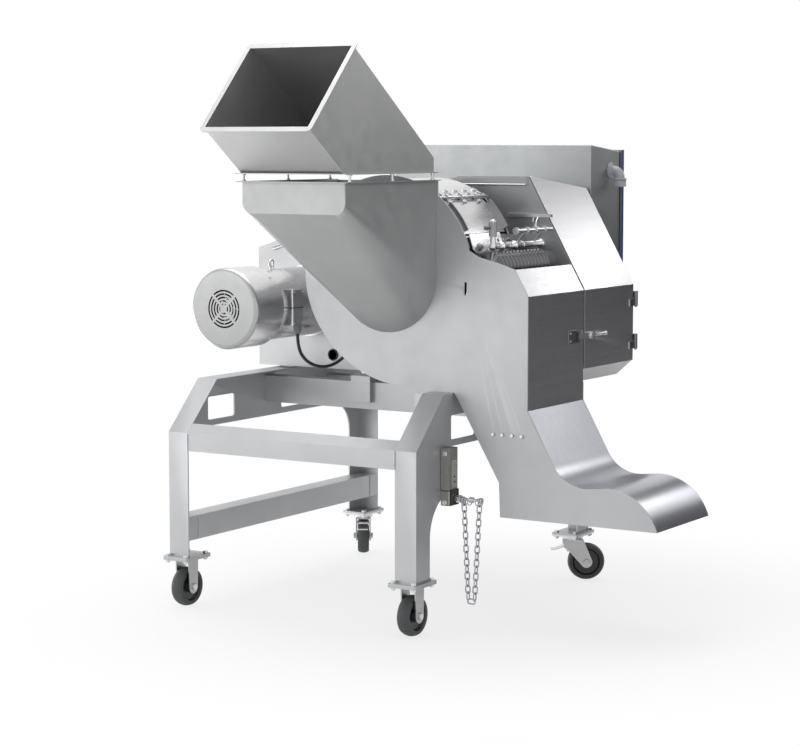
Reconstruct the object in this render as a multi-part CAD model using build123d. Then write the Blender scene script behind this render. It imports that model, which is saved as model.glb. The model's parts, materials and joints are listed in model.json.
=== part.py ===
from build123d import *
from math import acos, asin, atan2, cos, degrees, hypot, pi, radians, sin, sqrt, tan
import os

# Industrial dicing machine on a wheeled stainless frame.
# Frame of the part: origin on the floor straight below the impeller axis, in the plane of the
# front face of the big side plate. X points towards the discharge, Y towards the drive, Z up.

# Driving dimensions, millimetres

# Frame
FRAME_LEFT = -693.0
FRAME_RIGHT = 243.0
FRAME_FRONT = -220.0
FRAME_REAR = 913.0
FRAME_TOP = 731.0
SHOULDER = 160.0            # height of the slanted corner of a side frame
LEG_BOTTOM = 168.0
LEG_FLANGE = 76.0
LEG_DEPTH = 80.0
FRAME_SHEET = 5.0
PANEL_EDGE = 567.0          # lower edge of a side panel
PANEL_ARC = 100.0
HOLE_LENGTH = 146.0
HOLE_LOW = 587.0
HOLE_HIGH = 663.0
HOLE_STARTS = (-15.0, 405.0)
GUSSET_LOW = 294.0
GUSSET_ARC = 133.0
GUSSET_REAR = -26.0
FRONT_BEAM_LOW = 513.0
BEAM_LIP = 40.0
LOW_BEAM = (220.0, 298.0)
CHANNEL_FRONT = 314.0
CHANNEL_Z = (616.0, 706.0)
CHANNEL_DEPTH = 60.0
REAR_BEAM_Y = 690.0
REAR_BEAM_Z = (600.0, 676.0)
REST_X = (-330.0, 60.0)     # blocks on the front channel, under the drive housing
REST_WIDE = 76.0
REST_THICK = 18.0
REST_BITE = 24.0            # step of a block above the lower edge of the channel
REST_REACH = 48.0           # length of a block under the housing
PAD_SIDE = 60.0             # side of a square pad on the side frames

# Casters
PAD_WIDE = 100.0            # bolt pad under a leg
PAD_LONG = 132.0
PAD_THICK = 6.0
BOLT_R = 5.0
BOLT_X = 36.0               # bolt places from the middle of a pad
BOLT_Y = 52.0
BOLT_HEAD_R = 9.0
BOLT_HEAD = 6.5
NUT_HIGH = 7.0
WHEEL_R = 63.5
WHEEL_WIDE = 40.0
HUB_R = 17.0
AXLE_R = 6.0
FORK_SHEET = 4.0
FORK_GAP = 3.0              # side play of a wheel in its fork
FORK_LEG = 50.0
TRAIL = 45.0
SWIVEL_ANGLES = (122.0, 32.0)   # way the rear casters trail, degrees from +X
RACE_R = 34.0
RACE_HIGH = 14.0
CROWN = 5.0
CROWN_HALF = 34.0
KING_R = 8.0
PEDAL_WIDE = 46.0
PEDAL_Y = -25.0
PEDAL_Z = 120.0
PEDAL_PIN_R = 4.0

# Side plate, impeller and hoppers
AXIS_Z = 1089.0
PLATE = 4.0
CASE_R = 296.0              # outside of the impeller case
CASE_SHEET = 7.0
CASE_REAR = 290.0
RIM_MARGIN = 12.0           # the side plate and the wrap sheet stand out past the case by this
RIM_R = CASE_R + RIM_MARGIN
WRAP_START = 165.0          # angles above +X where the wrap sheet begins and leaves the circle
WRAP_TURN = 211.0
BELLY_TURN = 240.2          # the belly swells past the circle here
BELLY_OUT = 7.8
BELLY_END = (67.0, 741.0)
SEAT_LEFT = 140.0           # the plate stands on the right side frame from here
STUD_X = (383.0, 415.0, 449.0, 482.0)
STUD_Z = 612.0
STUD_R = 5.5
STUD_OUT = 3.0
GAUGE_AT = (284.0, 1053.0)  # slot through which the slice gauge shows
GAUGE_WIDE = 8.0
GAUGE_HIGH = 40.0
POINTER_LONG = 17.0
POINTER_HIGH = 10.0
FEED_R = 172.0
HALF = 182.0                # half width of the hoppers
LOWER_TOP = 1384.0
LOWER_FRONT = -511.0
LIP_LOW = 1289.0
SHEET = 3.0
HOPPER_FLANGE = 14.0
UPPER_LOW = 1405.0
UPPER_FRONT = -516.0
UPPER_REAR = -17.0
UPPER_REAR_TOP = 1452.0
MOUTH_TOP = (-467.0, 1777.0)
MOUTH_LOW = (-698.0, 1538.0)
RIM_WIDE = 13.0
POST_R = 4.0                # spacers between the two hoppers

# Discharge side
FACE_X = 501.0
SLOPE = 60.6                # degrees, of the slanted panels and of the chute
FACE_TOP = 1036.0
STRIP_TOP = 1116.0
FACE_LOW = 690.0
CHUTE_LOW = 358.0
CHUTE_BACK = 408.0
CHUTE_KNEE = 464.0
DIP_R = 120.0
NOSE_R = 170.0
DIP_START_Z = 530.0
CHUTE_FLAT = 48.0
CHUTE_RISE = 6.0            # degrees, the flat part of the chute climbs
FLOOR_TOP = (258.0, 712.0)
HOOD_STEPS = ((394.0, 1135.0), (328.0, 1151.0))
SEAM_Y = 372.0
LATCH_Y = 398.0
LATCH_Z = 893.0

# Drive housing
HOUSE_LEFT = -753.0
HOUSE_LOW = 737.0
HOUSE_LEFT_TOP = 1140.0
ROOF_LEFT = 45.0
ROOF_Z = 1391.0
ROOF_DROP = 44.0
HOUSE_REAR = 720.0
CHAMFER_X = 60.0
CHAMFER_Z = 50.0
HOUSE_SHEET = 3.0
ROOF_LIP = 27.0

# Impeller and knives
IMPELLER_GAP = 16.0         # between the impeller and the outside of the case
IMPELLER_R = CASE_R - IMPELLER_GAP
HUB_OUT = 58.0
PADDLES = 5
PADDLE_INNER = 120.0
IMPELLER_FRONT = 14.0
IMPELLER_REAR = 272.0
SHAFT_R = 25.0
STRIP_ANGLE = 52.0          # degrees above +X, where the slice gate hinges
GATE_END = 26.0
GATE_SHEET = 6.0
STRIP_WIDE = 42.0
STRIP_HIGH = 6.0
GATE_GAP = 1.0
PIVOT_R = 4.0
KNIFE_BLOCK = 14.0
SPINDLE_RISE = 29.0         # circular knife spindle above the impeller axis
SPINDLE_GAP = 15.173        # between the case and the circular knives
SPINDLE_R = 14.0
GEAR_R = 52.0
GEAR_TEETH = 16
DISC_R = GEAR_R - 4.0
DISCS = 14
DISC_THICK = 2.0
CROSS_LEAN = 12.0
CROSS_BLADES = 6
KNIFE_FRONT = 24.0
KNIFE_REAR = 330.0
BEARING_R = 60.0            # housings round the main shaft and round the spindles
SPINDLE_BEARING_R = 26.0
BEARING_FLANGE = 14.0
PIPE_R = 9.0                # rinse pipe over the knives
PIPE_LEFT = 13.0            # its place from the circular knife spindle
PIPE_RISE = 62.0
PIPE_FRONT = 60.0
PIPE_BRANCH = 76.0

# Drive train
MOTOR_X = -543.0
MOTOR_Z = 966.0
MOTOR_FACE = -120.0
MOTOR_R = 105.0
COWL_R = 131.0
COWL_LONG = 150.0
EYE_R = 11.0
MOTOR_PULLEY_R = 60.0
BIG_PULLEY_R = 180.0
SECOND_PULLEY_R = 90.0
SPINDLE_PULLEY_R = 30.0
BELT = 8.0
PULLEY_WIDE = 40.0
FIRST_BELT_Y = 470.0
SECOND_BELT_Y = 560.0
GEAR_Y = 640.0
GEAR_WIDE = 30.0
MOTOR_SHAFT_R = 17.0

# Electrical enclosure
BOX_LEFT = -432.0
BOX_RIGHT = 330.0
BOX_FRONT = 740.0
BOX_REAR = 948.0
BOX_TOP = 1489.0
BOX_LOW = 879.0
BOX_TOP_DROP = 21.0
BOX_SHEET = 3.0
DOOR_GAP = 6.0
DOOR_THICK = 22.0
PANEL_DEVICES = (           # from the lower left corner of the box: place, width, height, depth
    (132.0, 421.0, 120.0, 100.0, 60.0), (312.0, 401.0, 60.0, 140.0, 80.0), (452.0, 401.0, 60.0, 140.0, 80.0),
    (232.0, 211.0, 300.0, 90.0, 50.0), (592.0, 181.0, 160.0, 200.0, 110.0),
)

# Motor details
MOTOR_FLANGE = 14.0
COWL_SHEET = 3.0
GRILLE_R = (15.0, 26.0, 37.0, 48.0, 59.0)
SLOT = 5.0
JUNCTION = (-468.0, -398.0, 60.0, 122.0, 905.0, 1022.0)
GLAND = (-411.0, 104.0)
GLAND_LOW = 877.0
GLAND_R = 13.0
CABLE_END = (-344.0, 812.0)
CABLE_R = 5.5
CABLE_HOLE = (-448.0, 784.0)
CABLE_HOLE_R = 17.0

# Small parts
HINGE_R = 6.5
HINGE_PIN_R = 4.0
HINGE_HEIGHTS = (825.0, 965.0)
KNUCKLE = 24.0
LOCK_R = 9.0
ELBOW = (882.0, 1404.0)
ELBOW_R = 16.0
BEND = 24.0
MOUTH_LONG = 30.0
SWITCH_OUT = 32.0           # interlock switch box on the right front leg
SWITCH_Y = (-77.0, -26.0)
SWITCH_Z = (391.0, 569.0)
KNOB_Y = -48.0
KNOB_Z = 412.0
KNOB_R = 12.0
STUB_R = 6.0
STUB_LONG = 24.0
NOSE_LONG = 98.0
NOSE_ROD = 4.0
COLLAR_R = 9.0
WIRE = 4.4                  # links of the interlock chain
LINK_LONG = 30.0
LINK_WIDE = 19.4
LINKS = 15
RUN = 0.3                   # clearance between pieces that move past each other
PIN_PLAY = 0.05


def box(x0, x1, y0, y1, z0, z1):
    """Block between two corners."""
    size = (x1 - x0, y1 - y0, z1 - z0)
    return Pos((x0 + x1) / 2, (y0 + y1) / 2, (z0 + z1) / 2) * Box(*size)


def side_plane(y):
    """Plane facing the front, for outlines given as X and Z."""
    return Plane(origin=(0, y, 0), x_dir=(1, 0, 0), z_dir=(0, -1, 0))


def end_plane(x):
    """Plane facing right, for outlines given as Y and Z."""
    return Plane(origin=(x, 0, 0), x_dir=(0, 1, 0), z_dir=(1, 0, 0))


def along_y(face, y0, y1):
    """Extrude an X-Z outline from y0 to y1."""
    return extrude(side_plane(y0) * face, amount=-(y1 - y0))


def along_x(face, x0, x1):
    """Extrude a Y-Z outline from x0 to x1."""
    return extrude(end_plane(x0) * face, amount=x1 - x0)


def poly(*points):
    return make_face(Polyline(*points, close=True))


def round_face(x, z, r):
    return Pos(x, z) * Circle(r)


def rod_y(x, z, r, y0, y1):
    return along_y(round_face(x, z, r), y0, y1)


def rod_x(y, z, r, x0, x1):
    return along_x(round_face(y, z, r), x0, x1)


def rod_z(x, y, r, z0, z1):
    return Pos(x, y, (z0 + z1) / 2) * Cylinder(r, z1 - z0)


def hexagon(r):
    return RegularPolygon(r, 6)


def join(pieces):
    """Group separate solids that share one node."""
    solids = []
    for piece in pieces:
        solids.extend(piece.solids())
    return Compound(children=[Solid(s.wrapped) for s in solids])


def save(name, shape):
    os.makedirs("parts", exist_ok=True)
    export_step(shape, f"parts/{name}.step")


def shift(point, direction, length):
    """Point moved along a direction given in degrees."""
    a = radians(direction)
    return (point[0] + length * cos(a), point[1] + length * sin(a))


# Axes of the turning parts, as X and Z

AXIS = (0.0, AXIS_Z)
MOTOR = (MOTOR_X, MOTOR_Z)
spindle_reach = CASE_R + SPINDLE_GAP + DISC_R
SPINDLE = (sqrt(spindle_reach ** 2 - SPINDLE_RISE ** 2), AXIS_Z + SPINDLE_RISE)
SPINDLE_2 = shift(SPINDLE, -90 + CROSS_LEAN, 2 * GEAR_R)


# Side frames: a panel with a folded flange all round, open towards the middle

def side_outline(grow):
    """Outer outline of a side frame, shrunk by grow; it runs on below the legs."""
    t = grow
    k = grow * tan(radians(22.5))
    low = LEG_BOTTOM - (10 if grow else 0)
    front, rear, top = FRAME_FRONT + t, FRAME_REAR - t, FRAME_TOP - t
    knee = FRAME_TOP - SHOULDER - k
    return poly(
        (front, low), (front, knee), (FRAME_FRONT + SHOULDER + k, top),
        (FRAME_REAR - SHOULDER - k, top), (rear, knee), (rear, low),
    )


def side_frame(outer_x, inward, with_gusset):
    flange = along_x(side_outline(0), *sorted((outer_x, outer_x + inward * LEG_FLANGE)))
    flange -= along_x(side_outline(FRAME_SHEET), outer_x - 100, outer_x + 100)
    panel = side_outline(0)
    arch_front = FRAME_FRONT + LEG_DEPTH
    arch_rear = FRAME_REAR - LEG_DEPTH
    middle = (arch_front + arch_rear) / 2
    arch = Pos(middle, PANEL_EDGE / 2) * Rectangle(arch_rear - arch_front, PANEL_EDGE)
    arch = fillet(arch.vertices().group_by(Axis.Y)[-1], PANEL_ARC)
    if with_gusset:
        gusset = Pos((arch_front + GUSSET_REAR) / 2, (GUSSET_LOW + PANEL_EDGE) / 2) * Rectangle(
            GUSSET_REAR - arch_front, PANEL_EDGE - GUSSET_LOW)
        gusset -= round_face(arch_front + GUSSET_ARC, GUSSET_LOW, GUSSET_ARC)
        arch -= gusset
    panel -= arch
    for start in HOLE_STARTS:
        hole = RectangleRounded(HOLE_LENGTH, HOLE_HIGH - HOLE_LOW, 8)
        panel -= Pos(start + HOLE_LENGTH / 2, (HOLE_LOW + HOLE_HIGH) / 2) * hole
    sheet = along_x(panel, *sorted((outer_x, outer_x + inward * FRAME_SHEET)))
    return flange + sheet


side_frames = [side_frame(FRAME_LEFT, 1, False), side_frame(FRAME_RIGHT, -1, True)]

# Cross members between the side frames
span_left = FRAME_LEFT + LEG_FLANGE
span_right = FRAME_RIGHT - LEG_FLANGE
knee_z = FRAME_TOP - SHOULDER
lip = BEAM_LIP / sqrt(2)
beam = poly(
    (FRAME_FRONT, FRONT_BEAM_LOW), (FRAME_FRONT, knee_z), (FRAME_FRONT + lip, knee_z + lip),
    (FRAME_FRONT + lip + FRAME_SHEET, knee_z + lip - FRAME_SHEET),
    (FRAME_FRONT + FRAME_SHEET, knee_z - 2), (FRAME_FRONT + FRAME_SHEET, FRONT_BEAM_LOW + FRAME_SHEET),
    (FRAME_FRONT + lip, FRONT_BEAM_LOW + FRAME_SHEET), (FRAME_FRONT + lip, FRONT_BEAM_LOW),
)
save("front_beam", along_x(beam, span_left, span_right))

wall_left = FRAME_LEFT + FRAME_SHEET
wall_right = FRAME_RIGHT - FRAME_SHEET


def channel(y0, y1, z0, z1, x0, x1):
    """Folded channel, open towards the rear."""
    body = box(x0, x1, y0, y1, z0, z1)
    return body - box(x0 - 1, x1 + 1, y0 + FRAME_SHEET, y1 + 1, z0 + FRAME_SHEET, z1 - FRAME_SHEET)


cross_channels = [channel(CHANNEL_FRONT, CHANNEL_FRONT + CHANNEL_DEPTH, *CHANNEL_Z, wall_left, wall_right),
                  channel(REAR_BEAM_Y, REAR_BEAM_Y + CHANNEL_DEPTH, *REAR_BEAM_Z, wall_left, wall_right)]
save("cross_channels", join(cross_channels))

low_y = (FRAME_FRONT + FRAME_SHEET, FRAME_REAR - FRAME_SHEET)
tube = box(wall_left, span_left, *low_y, *LOW_BEAM)
tube -= box(wall_left + FRAME_SHEET, span_left - FRAME_SHEET, low_y[0] - 1, low_y[1] + 1,
            LOW_BEAM[0] + FRAME_SHEET, LOW_BEAM[1] - FRAME_SHEET)
save("low_side_beam", tube)

# Blocks that carry the drive housing on the channel and on the side frames
rest_rear = SEAM_Y + REST_REACH
rest_top = FRAME_TOP - PLATE
rests = []
for x in REST_X:
    x1 = x + REST_WIDE
    rest = box(x, x1, CHANNEL_FRONT - REST_THICK, CHANNEL_FRONT, CHANNEL_Z[0] + REST_BITE, rest_top)
    rest += box(x, x1, CHANNEL_FRONT, rest_rear, CHANNEL_Z[1], rest_top)
    rest += box(x, x1, SEAM_Y + 2 * PLATE, rest_rear, rest_top, HOUSE_LOW)
    rests.append(rest)
for x in (FRAME_LEFT + LEG_FLANGE / 2, FRAME_RIGHT - LEG_FLANGE / 2):
    for y in (rest_rear, HOUSE_REAR - PAD_SIDE * 2 / 3):
        rests.append(box(x - PAD_SIDE / 2, x + PAD_SIDE / 2, y - PAD_SIDE / 2, y + PAD_SIDE / 2,
                         FRAME_TOP, HOUSE_LOW))

# Casters: leg pads, bolts, two rigid forks in front, two swivel forks with brakes behind
pad_low = LEG_BOTTOM - PAD_THICK
plate_low = pad_low - PAD_THICK
leg_x = (FRAME_LEFT + LEG_FLANGE / 2, FRAME_RIGHT - LEG_FLANGE / 2)
leg_y = (FRAME_FRONT + LEG_DEPTH / 2, FRAME_REAR - LEG_DEPTH / 2)
BOLT_HOLE = BOLT_R + PIN_PLAY


def caster_plate(low, high):
    plate = extrude(RectangleRounded(PAD_WIDE, PAD_LONG, 8), amount=high - low)
    for sx in (-1, 1):
        for sy in (-1, 1):
            plate -= Pos(sx * BOLT_X, sy * BOLT_Y) * Cylinder(BOLT_HOLE, 40)
    return Pos(0, 0, low) * plate


def caster_bolt():
    shank = rod_z(0, 0, BOLT_R, plate_low - NUT_HIGH - 3, LEG_BOTTOM)
    head = Pos(0, 0, LEG_BOTTOM) * extrude(hexagon(BOLT_HEAD_R), amount=BOLT_HEAD)
    nut = Pos(0, 0, plate_low - NUT_HIGH) * extrude(hexagon(BOLT_HEAD_R), amount=NUT_HIGH)
    return shank + head + nut


bolts = []
for i, x in enumerate(leg_x):
    for y in leg_y:
        side_frames[i] += Pos(x, y) * caster_plate(pad_low, LEG_BOTTOM)
        for sx in (-1, 1):
            for sy in (-1, 1):
                bolts.append(Pos(x + sx * BOLT_X, y + sy * BOLT_Y) * caster_bolt())
save("left_side_frame", side_frames[0])
save("right_side_frame", side_frames[1])
save("caster_bolts", join(bolts))

half_wheel = WHEEL_WIDE / 2
leg_in = half_wheel + FORK_GAP
leg_out = leg_in + FORK_SHEET
AXLE_HOLE = AXLE_R + PIN_PLAY


def fork_legs(outline, axle_y):
    legs = along_x(outline, -leg_out, -leg_in) + along_x(outline, leg_in, leg_out)
    return legs - rod_x(axle_y, WHEEL_R, AXLE_HOLE, -60, 60)


def rigid_fork():
    r = FORK_LEG / 2 - 3
    outline = poly((-FORK_LEG / 2, plate_low), (FORK_LEG / 2, plate_low), (r, WHEEL_R), (-r, WHEEL_R))
    outline += round_face(0, WHEEL_R, r)
    return caster_plate(plate_low, pad_low) + fork_legs(outline, 0)


def axle(axle_y):
    shaft = rod_x(axle_y, WHEEL_R, AXLE_R, -leg_out, leg_out)
    head = along_x(Pos(axle_y, WHEEL_R) * hexagon(11), leg_out, leg_out + 7)
    nut = along_x(Pos(axle_y, WHEEL_R) * hexagon(11), -leg_out - 9, -leg_out)
    return shaft + head + nut


def wheel(axle_y):
    bore = AXLE_R + PIN_PLAY
    hub = half_wheel + FORK_GAP - 1.0
    rim = WHEEL_R - 17
    crown = 6.0
    line = Polyline((-hub, bore), (-hub, HUB_R), (-12, HUB_R + 3), (-12, rim - 5), (-half_wheel, rim),
                    (-half_wheel, WHEEL_R - crown))
    tread = ThreePointArc((-half_wheel, WHEEL_R - crown), (0, WHEEL_R), (half_wheel, WHEEL_R - crown))
    back = Polyline((half_wheel, WHEEL_R - crown), (half_wheel, rim), (12, rim - 5), (12, HUB_R + 3),
                    (hub, HUB_R), (hub, bore), (-hub, bore))
    profile = make_face(Curve() + [line, tread, back])
    return Pos(0, axle_y, WHEEL_R) * revolve(profile, Axis.X)


front_names = ("front_left", "front_right")
rear_names = ("rear_left", "rear_right")
front_forks, front_axles, races = [], [], []
for name, x in zip(front_names, leg_x):
    place = Pos(x, leg_y[0])
    front_forks.append(place * rigid_fork())
    save(f"{name}_wheel", place * wheel(0))
    front_axles.append(place * axle(0))
save("front_forks", join(front_forks))
save("front_axles", join(front_axles))

race_low = plate_low - RACE_HIGH
crown_top = race_low - RUN

def swivel_race():
    race = caster_plate(plate_low, pad_low) + rod_z(0, 0, RACE_R, race_low, plate_low)
    return race - rod_z(0, 0, KING_R + PIN_PLAY, race_low - 5, pad_low + 5)


def swivel_fork():
    crown_low = crown_top - CROWN
    outline = poly((-CROWN_HALF, crown_top), (CROWN_HALF, crown_top), (TRAIL + 19, WHEEL_R + 6),
                   (TRAIL - 15, WHEEL_R - 13), (-CROWN_HALF, crown_low - 14))
    outline += round_face(TRAIL, WHEEL_R, 20) + round_face(PEDAL_Y, PEDAL_Z, 9)
    fork = fork_legs(outline, TRAIL)
    fork += box(-leg_in, leg_in, -CROWN_HALF, CROWN_HALF - 4, crown_low, crown_top)
    fork += rod_z(0, 0, KING_R, crown_low, plate_low + 2)
    return fork + rod_x(PEDAL_Y, PEDAL_Z, PEDAL_PIN_R, -leg_in, leg_in)


def brake_pedal():
    half = PEDAL_WIDE / 2 - 1.0
    pedal = rod_x(PEDAL_Y, PEDAL_Z, PEDAL_PIN_R + 4, -half, half)
    tongue = poly((PEDAL_Y - 4, PEDAL_Z - 5), (PEDAL_Y - 4, PEDAL_Z + 1), (PEDAL_Y - 38, PEDAL_Z - 12),
                  (PEDAL_Y - 52, PEDAL_Z - 12), (PEDAL_Y - 52, PEDAL_Z - 16), (PEDAL_Y - 38, PEDAL_Z - 16))
    shoe = poly((PEDAL_Y - 5, PEDAL_Z - 2), (PEDAL_Y + 6, PEDAL_Z - 4), (PEDAL_Y + 11, PEDAL_Z - 22),
                (PEDAL_Y + 3, PEDAL_Z - 22))
    pedal += along_x(tongue, -half + 4, half - 4) + along_x(shoe, -half + 8, half - 8)
    return pedal - rod_x(PEDAL_Y, PEDAL_Z, PEDAL_PIN_R + PIN_PLAY, -60, 60)


for name, x, angle in zip(rear_names, leg_x, SWIVEL_ANGLES):
    place = Pos(x, leg_y[1])
    turned = place * Rot(0, 0, angle - 90)
    races.append(place * swivel_race())
    save(f"{name}_fork", join([turned * swivel_fork(), turned * axle(TRAIL)]))
    save(f"{name}_wheel", turned * wheel(TRAIL))
    save(f"{name}_brake_pedal", turned * brake_pedal())
save("swivel_races", join(races))

# Outline of the discharge side, shared by the side plate, the chute sheets and the hood
rise = cos(radians(SLOPE)) / sin(radians(SLOPE))


def chute_line(inset):
    """S-shaped top of the chute as edges, set in by a sheet thickness; also its end points."""
    nx, nz = sin(radians(SLOPE)), cos(radians(SLOPE))
    start = (FACE_X - inset, FACE_LOW - inset * (1 - nx) / nz)
    bend = (FACE_X + (FACE_LOW - DIP_START_Z) * rise - inset * nx, DIP_START_Z - inset * nz)
    r1 = DIP_R + inset
    centre1 = shift(bend, 90 - SLOPE, r1)
    low = shift(centre1, -90 + CHUTE_RISE, r1)
    flat = shift(low, CHUTE_RISE, CHUTE_FLAT)
    r2 = NOSE_R - inset
    centre2 = shift(flat, -90 + CHUTE_RISE, r2)
    end_angle = degrees(asin((CHUTE_LOW - centre2[1]) / r2))
    toe = shift(centre2, end_angle, r2)
    mid1 = ((270 - SLOPE) + (270 + CHUTE_RISE)) / 2
    arc1 = ThreePointArc(bend, shift(centre1, mid1, r1), low)
    arc2 = ThreePointArc(flat, shift(centre2, (90 + CHUTE_RISE + end_angle) / 2, r2), toe)
    return [Line(start, bend), arc1, Line(low, flat), arc2], start, toe


def closed(edges, points):
    """Face bounded by connected edges and by the straight way back through the points."""
    return make_face(Curve() + edges + [Polyline(*points)])


# Side plate: one large sheet with the feed hole, the gauge slot and four weld studs
chute_outer, chute_start, chute_toe = chute_line(0)
chute_inner, inner_start, inner_toe = chute_line(SHEET)
tangent = shift(AXIS, WRAP_TURN, RIM_R)
SEAT_X = (SEAT_LEFT, FRAME_RIGHT + 0.5)
FLOOR_LOW = (CHUTE_BACK - PLATE, CHUTE_KNEE)
strip_end = (FACE_X - (STRIP_TOP - FACE_TOP) * rise, STRIP_TOP)
belly = ThreePointArc(tangent, shift(AXIS, BELLY_TURN, RIM_R + BELLY_OUT), BELLY_END)
low_edge = Polyline(BELLY_END, (SEAT_X[0], FRAME_TOP), (SEAT_X[1], FRAME_TOP), FLOOR_TOP, FLOOR_LOW,
                    (CHUTE_BACK, CHUTE_LOW), chute_toe)
top_edge = Polyline(chute_start, (FACE_X, FACE_TOP), strip_end, *HOOD_STEPS,
                    shift(AXIS, 15, RIM_R), AXIS, tangent)
silhouette = make_face(Curve() + [belly, low_edge, top_edge] + chute_outer)
silhouette += round_face(0, AXIS_Z, RIM_R)
neck_half = HALF + SHEET
silhouette += poly((-neck_half, AXIS_Z), (neck_half, AXIS_Z), (neck_half, LOWER_TOP - SHEET),
                   (-neck_half, LOWER_TOP - SHEET))
plate_face = silhouette - round_face(0, AXIS_Z, FEED_R)
plate_face -= Pos(*GAUGE_AT) * Rectangle(GAUGE_WIDE, GAUGE_HIGH)
side_plate = along_y(plate_face, 0, PLATE)
for x in STUD_X:
    side_plate += rod_y(x, STUD_Z, STUD_R, -STUD_OUT, 0)
pointer_right = GAUGE_AT[0] - GAUGE_WIDE / 2 - 1
side_plate += box(pointer_right - POINTER_LONG, pointer_right, -STUD_OUT, 0,
                  GAUGE_AT[1] - POINTER_HIGH - 1, GAUGE_AT[1] - 1)
save("side_plate", side_plate)

# Chute: S-shaped top sheet, lower sheet and rear plate, open underneath at the outlet
HOOD_REAR = SEAM_Y - PLATE
CHUTE_IN = HOOD_REAR - PLATE
s_ends = [Line(chute_start, inner_start), Line(chute_toe, inner_toe)]
s_sheet = make_face(Curve() + chute_outer + chute_inner + s_ends)
save("chute_top_sheet", along_y(s_sheet, PLATE, CHUTE_IN))
nx, nz = sin(radians(SLOPE)), cos(radians(SLOPE))
back_x = CHUTE_BACK + SHEET
floor_face = poly(FLOOR_TOP, FLOOR_LOW, (CHUTE_BACK, CHUTE_LOW), (back_x, CHUTE_LOW),
                  (FLOOR_LOW[0] + SHEET + 0.1, CHUTE_KNEE + 1),
                  (FLOOR_TOP[0] + SHEET * nx, FLOOR_TOP[1] + SHEET * nz),
                  (SEAT_X[1] + 2, FRAME_TOP + SHEET), (SEAT_X[1], FRAME_TOP))
lower_sheet = along_y(floor_face, PLATE, CHUTE_IN)
rear_low = HOUSE_LOW + 10
rear_face = make_face(Curve() + chute_outer + [
    Polyline(chute_start, (FACE_X, rear_low), (SEAT_X[1], rear_low), (SEAT_X[1], FRAME_TOP), FLOOR_TOP,
             FLOOR_LOW, (CHUTE_BACK, CHUTE_LOW), chute_toe)])
rear_plate = along_y(rear_face, CHUTE_IN, HOOD_REAR)

# Hood over the knives: upright face and slanted strip
hood_line = poly((FACE_X, FACE_LOW), (FACE_X, FACE_TOP), strip_end,
                 (strip_end[0] - SHEET * nx, strip_end[1] - SHEET * nz),
                 (FACE_X - SHEET, FACE_TOP - SHEET * (1 - nx) / nz), inner_start)
hood = along_y(hood_line, PLATE, CHUTE_IN)
hood += box(FACE_X, FACE_X + 3, 262, 334, LATCH_Z - 20, LATCH_Z + 20)
hood += box(FACE_X + 3, FACE_X + 7, 318, 334, LATCH_Z - 14, LATCH_Z + 14)
save("hood_face", hood)

# Wrap sheet under the impeller case, following the edge of the side plate
inner_tangent = shift(AXIS, WRAP_TURN, RIM_R - SHEET)
left_end = shift(AXIS, WRAP_START, RIM_R)
left_inner = shift(AXIS, WRAP_START, RIM_R - SHEET)
wrap_middle = (WRAP_START + WRAP_TURN) / 2
wrap_outer = [ThreePointArc(left_end, shift(AXIS, wrap_middle, RIM_R), tangent), belly,
              Polyline(BELLY_END, (SEAT_X[0], FRAME_TOP), (SEAT_X[1], FRAME_TOP))]
wrap_inner = [Polyline((SEAT_X[1], FRAME_TOP), (SEAT_X[1], FRAME_TOP + SHEET), (SEAT_X[0], FRAME_TOP + SHEET),
                       (BELLY_END[0] + 0.4, BELLY_END[1] + SHEET)),
              ThreePointArc((BELLY_END[0] + 0.4, BELLY_END[1] + SHEET),
                            shift(AXIS, BELLY_TURN, RIM_R + BELLY_OUT - SHEET), inner_tangent),
              ThreePointArc(inner_tangent, shift(AXIS, wrap_middle, RIM_R - SHEET), left_inner),
              Line(left_inner, left_end)]
belly_wrap = along_y(make_face(Curve() + wrap_outer + wrap_inner), PLATE, CHUTE_IN)
save("lower_sheets", join([belly_wrap, lower_sheet, rear_plate]))

# Hoppers

def lower_hopper_solid(inset, top):
    """Hopper filled in: a rounded front lip drawn out to the round feed hole in the plate."""
    w = HALF - inset
    front_low = LIP_LOW + inset
    r = 34.0
    k = r * (1 - cos(radians(45)))
    front = Curve() + [
        Line((w, top), (w, front_low + r)),
        ThreePointArc((w, front_low + r), (w - k, front_low + k), (w - r, front_low)),
        Line((w - r, front_low), (-w + r, front_low)),
        ThreePointArc((-w + r, front_low), (-w + k, front_low + k), (-w, front_low + r)),
        Line((-w, front_low + r), (-w, top)), Line((-w, top), (w, top))]
    q = w - 2.0
    low = AXIS_Z - HALF + inset
    kq = q * cos(radians(45))
    back = Curve() + [
        Line((w, top), (w, AXIS_Z)),
        ThreePointArc((w, AXIS_Z), (2 + kq, low + q - kq), (2, low)),
        Line((2, low), (-2, low)),
        ThreePointArc((-2, low), (-2 - kq, low + q - kq), (-w, AXIS_Z)),
        Line((-w, AXIS_Z), (-w, top)), Line((-w, top), (w, top))]
    y_front = LOWER_FRONT + inset
    y_back = 0.0
    return loft([side_plane(y_front) * make_face(front), side_plane(y_back) * make_face(back)], ruled=True)


lower = lower_hopper_solid(0, LOWER_TOP - SHEET)
lower -= lower_hopper_solid(SHEET, LOWER_TOP + 30)
flange_out = HALF + HOPPER_FLANGE
flange = box(-flange_out, flange_out, LOWER_FRONT - HOPPER_FLANGE, 0, LOWER_TOP - SHEET, LOWER_TOP)
flange -= box(-HALF + SHEET, HALF - SHEET, LOWER_FRONT + SHEET, 0, LOWER_TOP - 10, LOWER_TOP + 10)
lower += flange
save("lower_hopper", lower)


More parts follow.
